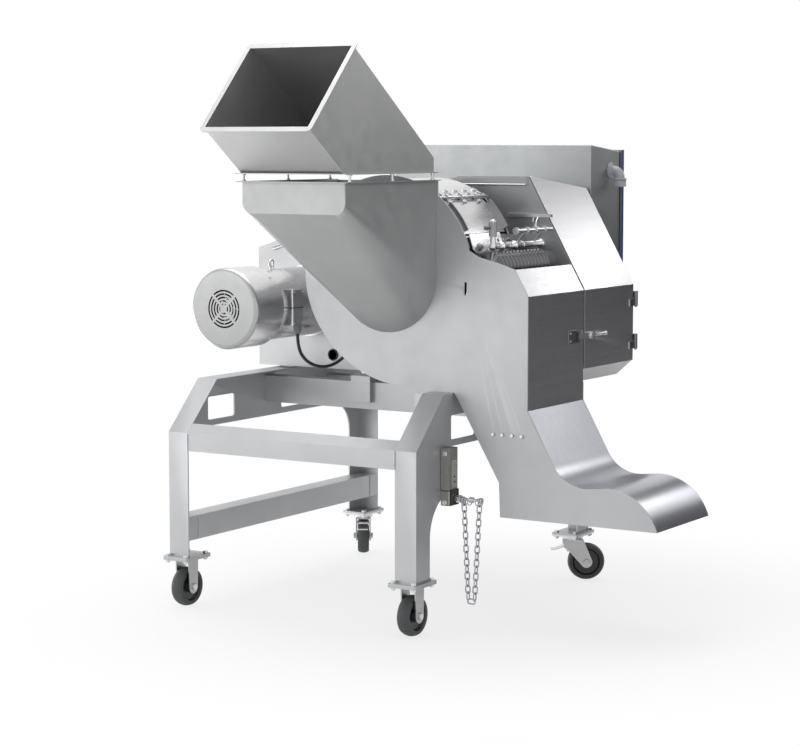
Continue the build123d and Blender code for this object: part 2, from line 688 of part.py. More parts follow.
def upper_outline(inset):
    """Side outline of the upper hopper; set in, it also runs out past both open ends."""
    top, low = MOUTH_TOP, MOUTH_LOW
    face = poly((UPPER_FRONT, UPPER_LOW), (UPPER_REAR, UPPER_LOW), (UPPER_REAR, UPPER_REAR_TOP), top, low)
    if inset:
        face = offset(face, amount=-inset, kind=Kind.INTERSECTION)
        a = atan2(top[1] - low[1], top[0] - low[0])
        out = (-40 * sin(a), 40 * cos(a))
        edge = inset * 1.6
        near = (low[0] + edge * cos(a), low[1] + edge * sin(a))
        far = (top[0] - edge * cos(a), top[1] - edge * sin(a))
        inward = (20 * sin(a), -20 * cos(a))
        face += poly((near[0] + inward[0] * 0.4, near[1] + inward[1] * 0.4),
                     (near[0] + out[0], near[1] + out[1]), (far[0] + out[0], far[1] + out[1]),
                     (far[0] + inward[0] * 0.4, far[1] + inward[1] * 0.4))
        face += poly((UPPER_FRONT + inset, UPPER_LOW - 20), (UPPER_REAR - inset, UPPER_LOW - 20),
                     (UPPER_REAR - inset, UPPER_LOW + 10), (UPPER_FRONT + inset, UPPER_LOW + 10))
    return face


upper = along_x(upper_outline(0), -HALF, HALF) - along_x(upper_outline(SHEET), -HALF + SHEET, HALF - SHEET)
mouth_a = atan2(MOUTH_TOP[1] - MOUTH_LOW[1], MOUTH_TOP[0] - MOUTH_LOW[0])
mouth_long = hypot(MOUTH_TOP[0] - MOUTH_LOW[0], MOUTH_TOP[1] - MOUTH_LOW[1])
mouth_mid = ((MOUTH_TOP[0] + MOUTH_LOW[0]) / 2, (MOUTH_TOP[1] + MOUTH_LOW[1]) / 2)
mouth_plane = Plane(origin=(0, mouth_mid[0], mouth_mid[1]), x_dir=(1, 0, 0),
                    z_dir=(0, -sin(mouth_a), cos(mouth_a)))
rim_face = RectangleRounded(2 * (HALF + RIM_WIDE), mouth_long + 2 * RIM_WIDE, 18)
rim_face -= Rectangle(2 * (HALF - SHEET), mouth_long - 2 * SHEET)
rim = extrude(mouth_plane * rim_face, amount=-SHEET)
upper += rim
foot = box(-flange_out, flange_out, UPPER_FRONT - HOPPER_FLANGE, UPPER_REAR + 2, UPPER_LOW, UPPER_LOW + SHEET)
foot -= box(-HALF + SHEET, HALF - SHEET, UPPER_FRONT + SHEET, UPPER_REAR - SHEET, UPPER_LOW - 9, UPPER_LOW + 9)
upper += foot
save("upper_hopper", upper)

posts = []
for x in (-HALF - 6, HALF + 6):
    for y in (UPPER_FRONT + 20, (UPPER_FRONT + UPPER_REAR) / 2, UPPER_REAR - 20):
        post = rod_z(x, y, POST_R, LOWER_TOP, UPPER_LOW)
        post += rod_z(x, y, POST_R + 3, LOWER_TOP, LOWER_TOP + POST_R)
        post += rod_z(x, y, POST_R + 3, UPPER_LOW - POST_R, UPPER_LOW)
        posts.append(post)
save("hopper_spacers", join(posts))

# Drive housing: a sheet box behind the knives, open on the right where its door lies
ROOF_RIGHT = FACE_X - (ROOF_Z - FACE_TOP) * rise
lap = HOUSE_SHEET + RUN
lap_z = lap * (1 - nx) / nz


def house_outline():
    return poly(
        (HOUSE_LEFT, HOUSE_LOW), (HOUSE_LEFT, HOUSE_LEFT_TOP), (ROOF_LEFT, ROOF_Z),
        (ROOF_RIGHT - lap * nx - lap * nz * nz / nx, ROOF_Z), (FACE_X - lap, FACE_TOP - lap_z),
        (FACE_X - lap, HOUSE_LOW + CHAMFER_Z), (FACE_X - CHAMFER_X, HOUSE_LOW))


def under_roof(solid, drop):
    """Cut by the roof, which falls towards the rear so that wash water runs off."""
    slope = ROOF_DROP / (HOUSE_REAR - HOOD_REAR)
    cutter = poly((HOOD_REAR - 50, ROOF_Z - drop + 50 * slope),
                  (HOUSE_REAR + 50, ROOF_Z - drop - ROOF_DROP - 50 * slope),
                  (HOUSE_REAR + 50, ROOF_Z + 200), (HOOD_REAR - 50, ROOF_Z + 200))
    return solid - along_x(cutter, HOUSE_LEFT - 50, FACE_X + 200)


inside = offset(house_outline(), amount=-HOUSE_SHEET, kind=Kind.INTERSECTION)
door_way = poly((ROOF_RIGHT - 20, ROOF_Z - 12), (ROOF_RIGHT + 30, ROOF_Z + 30), (FACE_X + 30, FACE_TOP),
                (FACE_X + 30, HOUSE_LOW + CHAMFER_Z + 8), (FACE_X - 20, HOUSE_LOW + CHAMFER_Z + 8),
                (FACE_X - 20, FACE_TOP - 10))
shell = under_roof(along_y(house_outline(), HOOD_REAR, HOUSE_REAR), 0)
cavity = under_roof(along_y(inside + door_way, HOOD_REAR + HOUSE_SHEET, HOUSE_REAR - HOUSE_SHEET), HOUSE_SHEET)
shell -= cavity
WALL_GAP = 4.0
for x, z, r in ((*AXIS, SHAFT_R + WALL_GAP), (*SPINDLE, SPINDLE_R + WALL_GAP),
                (*SPINDLE_2, SPINDLE_R + WALL_GAP), (*MOTOR, MOTOR_SHAFT_R + 2 * WALL_GAP),
                (*CABLE_HOLE, CABLE_HOLE_R)):
    shell -= rod_y(x, z, r, HOOD_REAR - 5, HOOD_REAR + HOUSE_SHEET + 5)

# Drip lip of the roof, over the front wall
lip_face = house_outline() - (Pos(0, -ROOF_LIP) * house_outline())
lip_face &= poly((HOUSE_LEFT + 60, HOUSE_LEFT_TOP), (HOUSE_LEFT + 60, ROOF_Z + 10), (ROOF_RIGHT - 6, ROOF_Z + 10),
                 (ROOF_RIGHT - 6, ROOF_Z - ROOF_LIP), (ROOF_LEFT, ROOF_Z - ROOF_LIP - 6))
save("drive_housing", shell + along_y(lip_face, HOOD_REAR - 5, HOOD_REAR))

# Door of the drive housing, hinged at its rear edge
DOOR_FRONT = SEAM_Y + 0.5
DOOR_REAR = HOUSE_REAR - 3.0
door_low = HOUSE_LOW + CHAMFER_Z
door_line = poly((FACE_X, door_low), (FACE_X, FACE_TOP), (ROOF_RIGHT, ROOF_Z),
                 (ROOF_RIGHT - HOUSE_SHEET * nx, ROOF_Z - HOUSE_SHEET * nz),
                 (FACE_X - HOUSE_SHEET, FACE_TOP - HOUSE_SHEET * (1 - nx) / nz), (FACE_X - HOUSE_SHEET, door_low))
hinge_x, hinge_y = FACE_X + HINGE_R, HOUSE_REAR + HOUSE_SHEET
drive_door = under_roof(along_y(door_line, DOOR_FRONT, DOOR_REAR), 0)
fixed_hinges, pins = [], []
for z in HINGE_HEIGHTS:
    leaf = box(FACE_X, FACE_X + 3, DOOR_REAR - 30, hinge_y - HINGE_R, z, z + KNUCKLE)
    leaf += rod_z(hinge_x, hinge_y, HINGE_R, z, z + KNUCKLE) - box(FACE_X - 9, FACE_X, 0, 900, z, z + KNUCKLE)
    leaf += box(FACE_X, FACE_X + 3, DOOR_REAR - 30, hinge_y, z, z + KNUCKLE)
    drive_door += leaf - rod_z(hinge_x, hinge_y, HINGE_PIN_R + PIN_PLAY, z - 1, z + KNUCKLE + 1)
    low = z + KNUCKLE + RUN
    back = box(FACE_X - 50, hinge_x, HOUSE_REAR, HOUSE_REAR + 3, low, low + KNUCKLE)
    back += rod_z(hinge_x, hinge_y, HINGE_R, low, low + KNUCKLE)
    back += rod_z(hinge_x, hinge_y, HINGE_PIN_R, z - 4, low + 1)
    fixed_hinges.append(back)
drive_door += rod_x(LATCH_Y, LATCH_Z, 11, FACE_X, FACE_X + 5)
drive_door += rod_x(LATCH_Y, LATCH_Z, 5, FACE_X + 5, FACE_X + 20)
save("drive_door", drive_door)

# Latch: a turning handle on the door that reaches over the keeper on the hood
handle = rod_x(LATCH_Y, LATCH_Z, 12, FACE_X + 5 + RUN, FACE_X + 19)
handle += box(FACE_X + 8, FACE_X + 13, 322, LATCH_Y, LATCH_Z - 9, LATCH_Z + 9)
handle += rod_y(FACE_X + 13, LATCH_Z, 5, LATCH_Y, 492)
handle += Pos(FACE_X + 13, 492, LATCH_Z) * Sphere(7)
save("door_latch", handle - rod_x(LATCH_Y, LATCH_Z, 5 + PIN_PLAY, FACE_X, FACE_X + 30))

# Impeller case with the bolted strip that carries the slice gate

def ring_piece(r_in, r_out, start, end, y0, y1):
    """Bent plate about the impeller axis between two angles above +X."""
    mid = (start + end) / 2
    edges = [ThreePointArc(shift(AXIS, start, r_out), shift(AXIS, mid, r_out), shift(AXIS, end, r_out)),
             Line(shift(AXIS, end, r_out), shift(AXIS, end, r_in)),
             ThreePointArc(shift(AXIS, end, r_in), shift(AXIS, mid, r_in), shift(AXIS, start, r_in)),
             Line(shift(AXIS, start, r_in), shift(AXIS, start, r_out))]
    return along_y(make_face(Curve() + edges), y0, y1)


case_in = CASE_R - CASE_SHEET
case = ring_piece(case_in, CASE_R, STRIP_ANGLE, 360 + GATE_END - 9, PLATE, CASE_REAR)
case_back = round_face(*AXIS, CASE_R) - round_face(*AXIS, SHAFT_R + 12)
case += along_y(case_back, CASE_REAR, CASE_REAR + CASE_SHEET)
save("impeller_case", case)

strip_half = degrees(STRIP_WIDE / CASE_R)
strip = ring_piece(CASE_R, CASE_R + STRIP_HIGH, STRIP_ANGLE + 1.5, STRIP_ANGLE + strip_half, PLATE, CASE_REAR)
pivot = shift(AXIS, STRIP_ANGLE, CASE_R + STRIP_HIGH + 3)
for row in (3.2, 6.4):
    for i in range(5):
        y = 30 + i * 58
        a = STRIP_ANGLE + row
        foot_point = shift(AXIS, a, CASE_R + STRIP_HIGH)
        nut_plane = Plane(origin=(foot_point[0], y, foot_point[1]), x_dir=(0, 1, 0),
                          z_dir=(cos(radians(a)), 0, sin(radians(a))))
        strip += extrude(nut_plane * hexagon(7), amount=6) + extrude(nut_plane * hexagon(7), amount=-2)
hinge_pin = rod_y(*pivot, PIVOT_R, PLATE + 2, CASE_REAR)
strip += hinge_pin
for y0, y1 in ((PLATE, 13), (CASE_REAR - 13, CASE_REAR)):
    strip += ring_piece(CASE_R, CASE_R + STRIP_HIGH + 5, STRIP_ANGLE - 0.5, STRIP_ANGLE + 2.5, y0, y1)
save("gate_strip", strip)

# Slice gate: hinged under the strip, sets the slice thickness; the knife stands at its end
gate_in = CASE_R - CASE_SHEET
gate_start = STRIP_ANGLE - degrees(GATE_GAP / CASE_R) * 2
gate_y = (IMPELLER_FRONT, CASE_REAR - IMPELLER_FRONT)
gate = ring_piece(gate_in, gate_in + GATE_SHEET, GATE_END, gate_start, *gate_y)
for y0 in (14, 100, 190):
    knuckle = rod_y(*pivot, PIVOT_R + 4, y0 + 30, y0 + 52)
    gate += knuckle + ring_piece(gate_in + GATE_SHEET, CASE_R + STRIP_HIGH, STRIP_ANGLE - 4,
                                 STRIP_ANGLE - 0.7, y0 + 30, y0 + 52)
gate -= rod_y(*pivot, PIVOT_R + PIN_PLAY, 0, CASE_REAR)
save("slice_gate", gate)

# Slice knife on a block between the case and the spindles
block_face = ring_piece(CASE_R, CASE_R + KNIFE_BLOCK, GATE_END - 9, GATE_END - 3, PLATE, HOOD_REAR)
block_face += ring_piece(case_in, CASE_R, GATE_END - 9, GATE_END - 3, PLATE, CASE_REAR)
blade = ring_piece(case_in - 1.5, case_in, GATE_END - 9, GATE_END - 1, 12, CASE_REAR - 12)
for i in range(4):
    a = GATE_END - 6
    spot = shift(AXIS, a, CASE_R + KNIFE_BLOCK)
    plane = Plane(origin=(spot[0], 45 + i * 70, spot[1]), x_dir=(0, 1, 0),
                  z_dir=(cos(radians(a)), 0, sin(radians(a))))
    block_face += extrude(plane * hexagon(6), amount=5) + extrude(plane * hexagon(6), amount=-3)
save("slice_knife", block_face + blade)

# Impeller: back disc, front ring and paddles on a hub, keyed to the main shaft
hub = rod_y(*AXIS, HUB_OUT, IMPELLER_REAR - 40, IMPELLER_REAR)
hub += rod_y(*AXIS, IMPELLER_R, IMPELLER_REAR - 8, IMPELLER_REAR)
front_ring = rod_y(*AXIS, IMPELLER_R, IMPELLER_FRONT, IMPELLER_FRONT + 6)
front_ring -= rod_y(*AXIS, FEED_R + 6, IMPELLER_FRONT - 5, IMPELLER_FRONT + 12)
impeller = hub + front_ring
for i in range(PADDLES):
    a = 90 + i * 360 / PADDLES
    inner = shift(AXIS, a + 10, PADDLE_INNER)
    outer = shift(AXIS, a, IMPELLER_R - 1)
    along = atan2(outer[1] - inner[1], outer[0] - inner[0])
    off = (-4 * sin(along), 4 * cos(along))
    paddle = poly((inner[0] + off[0], inner[1] + off[1]), (outer[0] + off[0], outer[1] + off[1]),
                  (outer[0] - off[0], outer[1] - off[1]), (inner[0] - off[0], inner[1] - off[1]))
    impeller += along_y(paddle & round_face(*AXIS, IMPELLER_R), IMPELLER_FRONT, IMPELLER_REAR)
impeller -= rod_y(*AXIS, SHAFT_R, 0, 400)
save("impeller", impeller)
SHAFT_END = SECOND_BELT_Y + PULLEY_WIDE + 20
nose = rod_y(*AXIS, 34, IMPELLER_REAR - 52, IMPELLER_REAR - 40)
nose = fillet(nose.edges().group_by(Axis.Y)[0], 8)
save("main_shaft", nose + rod_y(*AXIS, SHAFT_R, IMPELLER_REAR - 40, SHAFT_END))


def bearing(x, z, shaft, out, y0, y1):
    body = rod_y(x, z, out, y0, y1) + rod_y(x, z, out + BEARING_FLANGE, y1 - 2 * PLATE, y1)
    return body - rod_y(x, z, shaft + PIN_PLAY, y0 - 1, y1 + 1)


case_rear = CASE_REAR + CASE_SHEET
bearing_front = KNIFE_REAR + 2 * PLATE
bearings = [bearing(*AXIS, SHAFT_R, BEARING_R, case_rear, HOOD_REAR)]
for spindle in (SPINDLE, SPINDLE_2):
    bearings.append(bearing(*spindle, SPINDLE_R, SPINDLE_BEARING_R, bearing_front, HOOD_REAR))
save("bearings", join(bearings))

# Circular knives: thin discs with spacers on a splined shaft
disc_gap = (KNIFE_REAR - 20 - KNIFE_FRONT) / (DISCS - 1)
knives = rod_y(*SPINDLE, SPINDLE_R, KNIFE_FRONT - 12, GEAR_Y + GEAR_WIDE + 6)
knives += rod_y(*SPINDLE, SPINDLE_R + 8, KNIFE_FRONT, KNIFE_REAR - 18)
for i in range(DISCS):
    y = KNIFE_FRONT + i * disc_gap
    knives += rod_y(*SPINDLE, DISC_R, y, y + DISC_THICK)
knives += rod_y(*SPINDLE, SPINDLE_R + 12, KNIFE_REAR - 18, KNIFE_REAR)
save("circular_knife_spindle", knives)

# Crosscut knives: straight blades along a solid rotor
cross = rod_y(*SPINDLE_2, SPINDLE_R, KNIFE_FRONT - 12, GEAR_Y + GEAR_WIDE + 6)
cross += rod_y(*SPINDLE_2, 34, KNIFE_FRONT, KNIFE_REAR)
for i in range(CROSS_BLADES):
    a = i * 360 / CROSS_BLADES
    tip, root1, root2 = (shift(SPINDLE_2, a, DISC_R), shift(SPINDLE_2, a - 9, 33), shift(SPINDLE_2, a + 4, 33))
    cross += along_y(poly(tip, root1, root2), KNIFE_FRONT + 4, KNIFE_REAR - 24)


# Rinse pipe over the knives: an upright branch with an elbow, clamped to the front wall of the housing
pipe_x, pipe_z = SPINDLE[0] - PIPE_LEFT, SPINDLE[1] + PIPE_RISE
pipe_top = pipe_z + PIPE_BRANCH
rinse_pipe = rod_y(pipe_x, pipe_z, PIPE_R, PIPE_FRONT, HOOD_REAR)
rinse_pipe += rod_z(pipe_x, PIPE_FRONT, PIPE_R, pipe_z, pipe_top)
rinse_pipe += Pos(pipe_x, PIPE_FRONT, pipe_z) * Sphere(PIPE_R + 3)
rinse_pipe += Pos(pipe_x, PIPE_FRONT, pipe_top) * Sphere(PIPE_R)
for y in (PIPE_FRONT + 50, PIPE_FRONT + 130, HOOD_REAR - 6):
    rinse_pipe += rod_y(pipe_x, pipe_z, PIPE_R + 5, y, y + 6)
save("rinse_pipe", rinse_pipe)


def gear(centre, phase):
    """Spur gear with straight flanks; its mate is turned by half a tooth."""
    outer, root = GEAR_R + 3.2, GEAR_R - 4.5
    face = round_face(*centre, root)
    pitch = 360 / GEAR_TEETH
    for i in range(GEAR_TEETH):
        a = phase + i * pitch
        face += poly(shift(centre, a - pitch * 0.30, root - 1), shift(centre, a - pitch * 0.12, outer),
                     shift(centre, a + pitch * 0.12, outer), shift(centre, a + pitch * 0.30, root - 1))
    face -= round_face(*centre, SPINDLE_R)
    return along_y(face, GEAR_Y, GEAR_Y + GEAR_WIDE)


mesh_angle = degrees(atan2(SPINDLE_2[1] - SPINDLE[1], SPINDLE_2[0] - SPINDLE[0]))
knife_gear = gear(SPINDLE, mesh_angle)
save("crosscut_spindle", join([cross, gear(SPINDLE_2, mesh_angle + 180 + 180 / GEAR_TEETH)]))


def pulley(centre, r, bore, y):
    wheel_body = rod_y(*centre, r, y, y + PULLEY_WIDE)
    if r > 70:
        for side in (y - 1, y + PULLEY_WIDE - 13):
            wheel_body -= rod_y(*centre, r - 16, side, side + 14) - rod_y(*centre, bore + 16, side, side + 14)
    return wheel_body - rod_y(*centre, bore, y - 5, y + PULLEY_WIDE + 5)


def belt(c1, r1, c2, r2, y):
    """Flat loop round two pulleys: tangent runs joined by arcs."""
    def loop(extra):
        a1, a2 = r1 + extra, r2 + extra
        base = atan2(c2[1] - c1[1], c2[0] - c1[0])
        lean = acos((r1 - r2) / hypot(c2[0] - c1[0], c2[1] - c1[1]))
        up, down = degrees(base + lean), degrees(base - lean)
        return make_face(Curve() + [
            Line(shift(c1, up, a1), shift(c2, up, a2)),
            ThreePointArc(shift(c2, up, a2), shift(c2, degrees(base), a2), shift(c2, down, a2)),
            Line(shift(c2, down, a2), shift(c1, down, a1)),
            ThreePointArc(shift(c1, down, a1), shift(c1, degrees(base) + 180, a1), shift(c1, up, a1))])
    return along_y(loop(RUN + BELT) - loop(RUN), y + 3, y + PULLEY_WIDE - 3)


save("main_pulleys", join([pulley(AXIS, BIG_PULLEY_R, SHAFT_R, FIRST_BELT_Y),
                           pulley(AXIS, SECOND_PULLEY_R, SHAFT_R, SECOND_BELT_Y)]))
save("motor_pulley", pulley(MOTOR, MOTOR_PULLEY_R, MOTOR_SHAFT_R, FIRST_BELT_Y))
save("spindle_pulley_and_gear", join([pulley(SPINDLE, SPINDLE_PULLEY_R, SPINDLE_R, SECOND_BELT_Y), knife_gear]))
save("drive_belts", join([belt(AXIS, BIG_PULLEY_R, MOTOR, MOTOR_PULLEY_R, FIRST_BELT_Y),
                          belt(AXIS, SECOND_PULLEY_R, SPINDLE, SPINDLE_PULLEY_R, SECOND_BELT_Y)]))

# Motor: finless wash-down body, cowl with a ringed grille, fan and shaft
BODY_FRONT = MOTOR_FACE + 62
body = rod_y(*MOTOR, MOTOR_R, BODY_FRONT, HOOD_REAR - MOTOR_FLANGE)
body += rod_y(*MOTOR, MOTOR_R + 16, HOOD_REAR - MOTOR_FLANGE, HOOD_REAR)
body += rod_y(*MOTOR, COWL_R - COWL_SHEET, MOTOR_FACE + COWL_LONG - 16, MOTOR_FACE + COWL_LONG - 6)
body -= rod_y(*MOTOR, MOTOR_SHAFT_R + PIN_PLAY, MOTOR_FACE - 50, HOOD_REAR + 50)
eye_z = MOTOR_Z + MOTOR_R
body += rod_z(MOTOR_X, 60, 9, eye_z - 3, eye_z + 8)
body += Pos(MOTOR_X, 60, eye_z + 8 + EYE_R) * Rot(0, 90, 0) * Torus(EYE_R, 3.5)
save("motor_body", body)
cowl = rod_y(*MOTOR, COWL_R, MOTOR_FACE, MOTOR_FACE + COWL_LONG)
cowl = fillet(cowl.edges().group_by(Axis.Y)[0], 14)
hollow = rod_y(*MOTOR, COWL_R - COWL_SHEET, MOTOR_FACE + COWL_SHEET, MOTOR_FACE + COWL_LONG + 1)
cowl -= fillet(hollow.edges().group_by(Axis.Y)[0], 14 - COWL_SHEET)
web = Pos(*MOTOR) * (Rot(0, 0, 45) * Rectangle(300, 9) + Rot(0, 0, -45) * Rectangle(300, 9))
grille = Sketch()
for r in GRILLE_R:
    grille += round_face(*MOTOR, r + SLOT / 2) - round_face(*MOTOR, r - SLOT / 2)
cowl -= along_y(grille - web, MOTOR_FACE - 5, MOTOR_FACE + COWL_SHEET + 15)
save("motor_cowl", cowl)
fan = rod_y(*MOTOR, 34, MOTOR_FACE + 18, MOTOR_FACE + 52)
for i in range(7):
    a = i * 360 / 7
    tip = shift(MOTOR, a, 100)
    off = (-2.5 * sin(radians(a)), 2.5 * cos(radians(a)))
    root = shift(MOTOR, a, 20)
    fan += along_y(poly((root[0] + off[0], root[1] + off[1]), (tip[0] + off[0], tip[1] + off[1]),
                        (tip[0] - off[0], tip[1] - off[1]), (root[0] - off[0], root[1] - off[1])),
                   MOTOR_FACE + 18, MOTOR_FACE + 48)
fan -= rod_y(*MOTOR, MOTOR_SHAFT_R, MOTOR_FACE, MOTOR_FACE + 70)
motor_shaft = rod_y(*MOTOR, MOTOR_SHAFT_R, MOTOR_FACE + 18, FIRST_BELT_Y + PULLEY_WIDE + 8)
save("motor_rotor", join([fan, motor_shaft]))
junction = box(*JUNCTION)
junction = fillet(junction.edges().filter_by(Axis.Z).group_by(Axis.X)[-1], 6)
save("junction_box", junction - rod_y(*MOTOR, MOTOR_R, 0, 300))
cap_top = GLAND_LOW + 8
glands = [rod_z(*GLAND, GLAND_R, cap_top, JUNCTION[4]) + rod_z(*GLAND, GLAND_R - 4, GLAND_LOW, cap_top),
          rod_y(*CABLE_END, GLAND_R, HOOD_REAR - 22, HOOD_REAR) - rod_y(*CABLE_END, CABLE_R + RUN, 0, 400)]
save("cable_glands", join(glands))

# Motor cable: hangs in a loose loop from the junction box to the front wall of the housing
CABLE_POINTS = [
    (*GLAND, GLAND_LOW), (*GLAND, 826.0), (-398.7, 144.2, 777.0), (-379.3, 207.2, 757.0),
    (-360.5, 268.4, 771.0), (CABLE_END[0], 318.0, CABLE_END[1]), (CABLE_END[0], HOOD_REAR, CABLE_END[1]),
]


def turn_radii(points):
    """Bend radius at every inner point: its arc takes up 0.45 of the shorter run beside it."""
    radii = []
    for before, here, after in zip(points, points[1:], points[2:]):
        first, second = Vector(*here) - Vector(*before), Vector(*after) - Vector(*here)
        half_turn = radians(first.get_angle(second)) / 2
        radii.append(0.45 * min(first.length, second.length) / tan(half_turn))
    return radii


radii = turn_radii(CABLE_POINTS)
cable_line = FilletPolyline(*CABLE_POINTS, radius=radii)
cable_start = Plane(origin=cable_line @ 0, z_dir=cable_line % 0)
motor_cable = sweep(cable_start * Circle(CABLE_R), path=cable_line)
print("cable: length", round(cable_line.length, 1), "bend radii", [round(r) for r in radii],
      "volume over section x length", round(motor_cable.volume / (pi * CABLE_R ** 2 * cable_line.length), 4))
save("motor_cable", motor_cable)

# Plate beside the motor that sets the tension of the first belt
plate_left, plate_right = MOTOR_X + MOTOR_R + 2, MOTOR_X + MOTOR_R + 46
plate_low_z, plate_top_z = MOTOR_Z - 20, MOTOR_Z + 94
mount_plate = box(plate_left, plate_right, HOOD_REAR - 26, HOOD_REAR - 20, plate_low_z, plate_top_z)
mount_plate += box(plate_right - 28, plate_right, HOOD_REAR - 20, HOOD_REAR, plate_top_z - 30, plate_top_z)
mount_plate += rod_y(plate_right - 12, plate_low_z + 29, 9, HOOD_REAR - 34, HOOD_REAR)
save("belt_tension_plate", mount_plate)

# Electrical enclosure on stand-offs behind the drive housing, with its door at the rear
top_line = poly((BOX_FRONT, BOX_LOW), (BOX_REAR, BOX_LOW), (BOX_REAR, BOX_TOP - BOX_TOP_DROP),
                (BOX_FRONT, BOX_TOP))
enclosure = along_x(top_line, BOX_LEFT, BOX_RIGHT)
cavity_line = offset(top_line, amount=-BOX_SHEET, kind=Kind.INTERSECTION)
cavity_line += poly((BOX_REAR - 10, BOX_LOW + 12), (BOX_REAR + 10, BOX_LOW + 12),
                    (BOX_REAR + 10, BOX_TOP - BOX_TOP_DROP - 12), (BOX_REAR - 10, BOX_TOP - BOX_TOP_DROP - 12))
enclosure -= along_x(cavity_line, BOX_LEFT + BOX_SHEET, BOX_RIGHT - BOX_SHEET)
back_panel = box(BOX_LEFT + 40, BOX_RIGHT - 40, BOX_FRONT + 12, BOX_FRONT + 15, BOX_LOW + 40, BOX_TOP - 60)
stand_offs, panel_studs = [], []
for x in (-340, 200):
    for z in (BOX_LOW + 60, 1270):
        stand_offs.append(rod_y(x, z, 13, HOUSE_REAR, BOX_FRONT))
        back_panel += rod_y(x, z, 8, BOX_FRONT + BOX_SHEET, BOX_FRONT + 12)
enclosure -= rod_x(*ELBOW, ELBOW_R - 4, BOX_RIGHT - 10, BOX_RIGHT + 10)
save("enclosure", enclosure)
save("housing_rests", join(rests + stand_offs))
for side, up, wide, high, deep in PANEL_DEVICES:
    x, z = BOX_LEFT + side, BOX_LOW + up
    back_panel += box(x, x + wide, BOX_FRONT + 15, BOX_FRONT + 15 + deep, z, z + high)
save("control_panel", back_panel)

DOOR_TOP = BOX_TOP - BOX_TOP_DROP - 4
seal = box(BOX_LEFT + 6, BOX_RIGHT - 6, BOX_REAR + RUN, BOX_REAR + DOOR_GAP - RUN, BOX_LOW + 6, DOOR_TOP - 4)
seal -= box(BOX_LEFT + 24, BOX_RIGHT - 24, BOX_REAR - 5, BOX_REAR + 20, BOX_LOW + 24, DOOR_TOP - 22)
save("door_seal", seal)
door_y = BOX_REAR + DOOR_GAP
back_door = box(BOX_LEFT - 4, BOX_RIGHT + 4, door_y, door_y + DOOR_THICK, BOX_LOW - 4, DOOR_TOP + 8)
back_door -= box(BOX_LEFT, BOX_RIGHT, door_y - 1, door_y + DOOR_THICK - BOX_SHEET, BOX_LOW, DOOR_TOP + 4)
back_door += box(BOX_LEFT + 6, BOX_RIGHT - 6, door_y, door_y + 3, BOX_LOW + 6, DOOR_TOP - 4) - box(
    BOX_LEFT + 26, BOX_RIGHT - 26, door_y - 1, door_y + 4, BOX_LOW + 26, DOOR_TOP - 24)
back_door += box(BOX_LEFT + 6, BOX_LEFT + 9, door_y, door_y + DOOR_THICK, BOX_LOW + 6, DOOR_TOP - 4)
back_door += box(BOX_RIGHT - 9, BOX_RIGHT - 6, door_y, door_y + DOOR_THICK, BOX_LOW + 6, DOOR_TOP - 4)
back_hinges = []
bx, by = BOX_LEFT - 4 - HINGE_R, door_y + 6
for z in (BOX_LOW + 70, DOOR_TOP - 120):
    leaf = rod_z(bx, by, HINGE_R, z, z + KNUCKLE) + box(bx, BOX_LEFT - 4, by - 2, by + 2, z, z + KNUCKLE)
    back_door += leaf - rod_z(bx, by, HINGE_PIN_R + PIN_PLAY, z - 1, z + KNUCKLE + 1)
    low = z + KNUCKLE + RUN
    back = rod_z(bx, by, HINGE_R, low, low + KNUCKLE) + rod_z(bx, by, HINGE_PIN_R, z - 4, low + 1)
    back += box(bx - 2, bx + 2, BOX_REAR - 40, by, low, low + KNUCKLE)
    back += box(bx - 2, BOX_LEFT, BOX_REAR - 40, BOX_REAR - 14, low, low + KNUCKLE)
    back_hinges.append(back)
LOCK_X = BOX_RIGHT - 34
LOCK_Z = (BOX_LOW + DOOR_TOP) / 2
back_door -= rod_y(LOCK_X, LOCK_Z, LOCK_R + PIN_PLAY, door_y + 6, door_y + DOOR_THICK + 5)
save("enclosure_door", back_door)
save("door_hinges", join(fixed_hinges + back_hinges))
lock = rod_y(LOCK_X, LOCK_Z, LOCK_R, door_y + 8, door_y + DOOR_THICK + 1)
lock += rod_y(LOCK_X, LOCK_Z, LOCK_R + 5, door_y + DOOR_THICK + RUN, door_y + DOOR_THICK + 6)
lock += box(LOCK_X - 4, LOCK_X + 4, door_y + DOOR_THICK + 6, door_y + DOOR_THICK + 16, LOCK_Z - 20, LOCK_Z + 20)
save("enclosure_lock", lock)

# Supply elbow: plastic fitting on the right wall of the enclosure, its mouth pointing down
elbow_x = BOX_RIGHT + 12 + BEND
MOUTH_Z = ELBOW[1] - BEND - MOUTH_LONG


def elbow_solid(r):
    out = rod_x(*ELBOW, r, BOX_RIGHT, BOX_RIGHT + 12)
    ring = Plane(origin=(BOX_RIGHT + 12, *ELBOW), x_dir=(0, 1, 0), z_dir=(1, 0, 0)) * Circle(r)
    axis = Axis((BOX_RIGHT + 12, ELBOW[0], ELBOW[1] - BEND), (0, 1, 0))
    out += revolve(ring, axis, 90)
    return out + rod_z(elbow_x, ELBOW[0], r, MOUTH_Z, ELBOW[1] - BEND)


elbow = elbow_solid(ELBOW_R) + rod_x(*ELBOW, ELBOW_R + 8, BOX_RIGHT, BOX_RIGHT + 6)
elbow += rod_z(elbow_x, ELBOW[0], ELBOW_R + 5, MOUTH_Z, MOUTH_Z + 24)
elbow -= elbow_solid(ELBOW_R - 4)
save("supply_elbow", elbow)

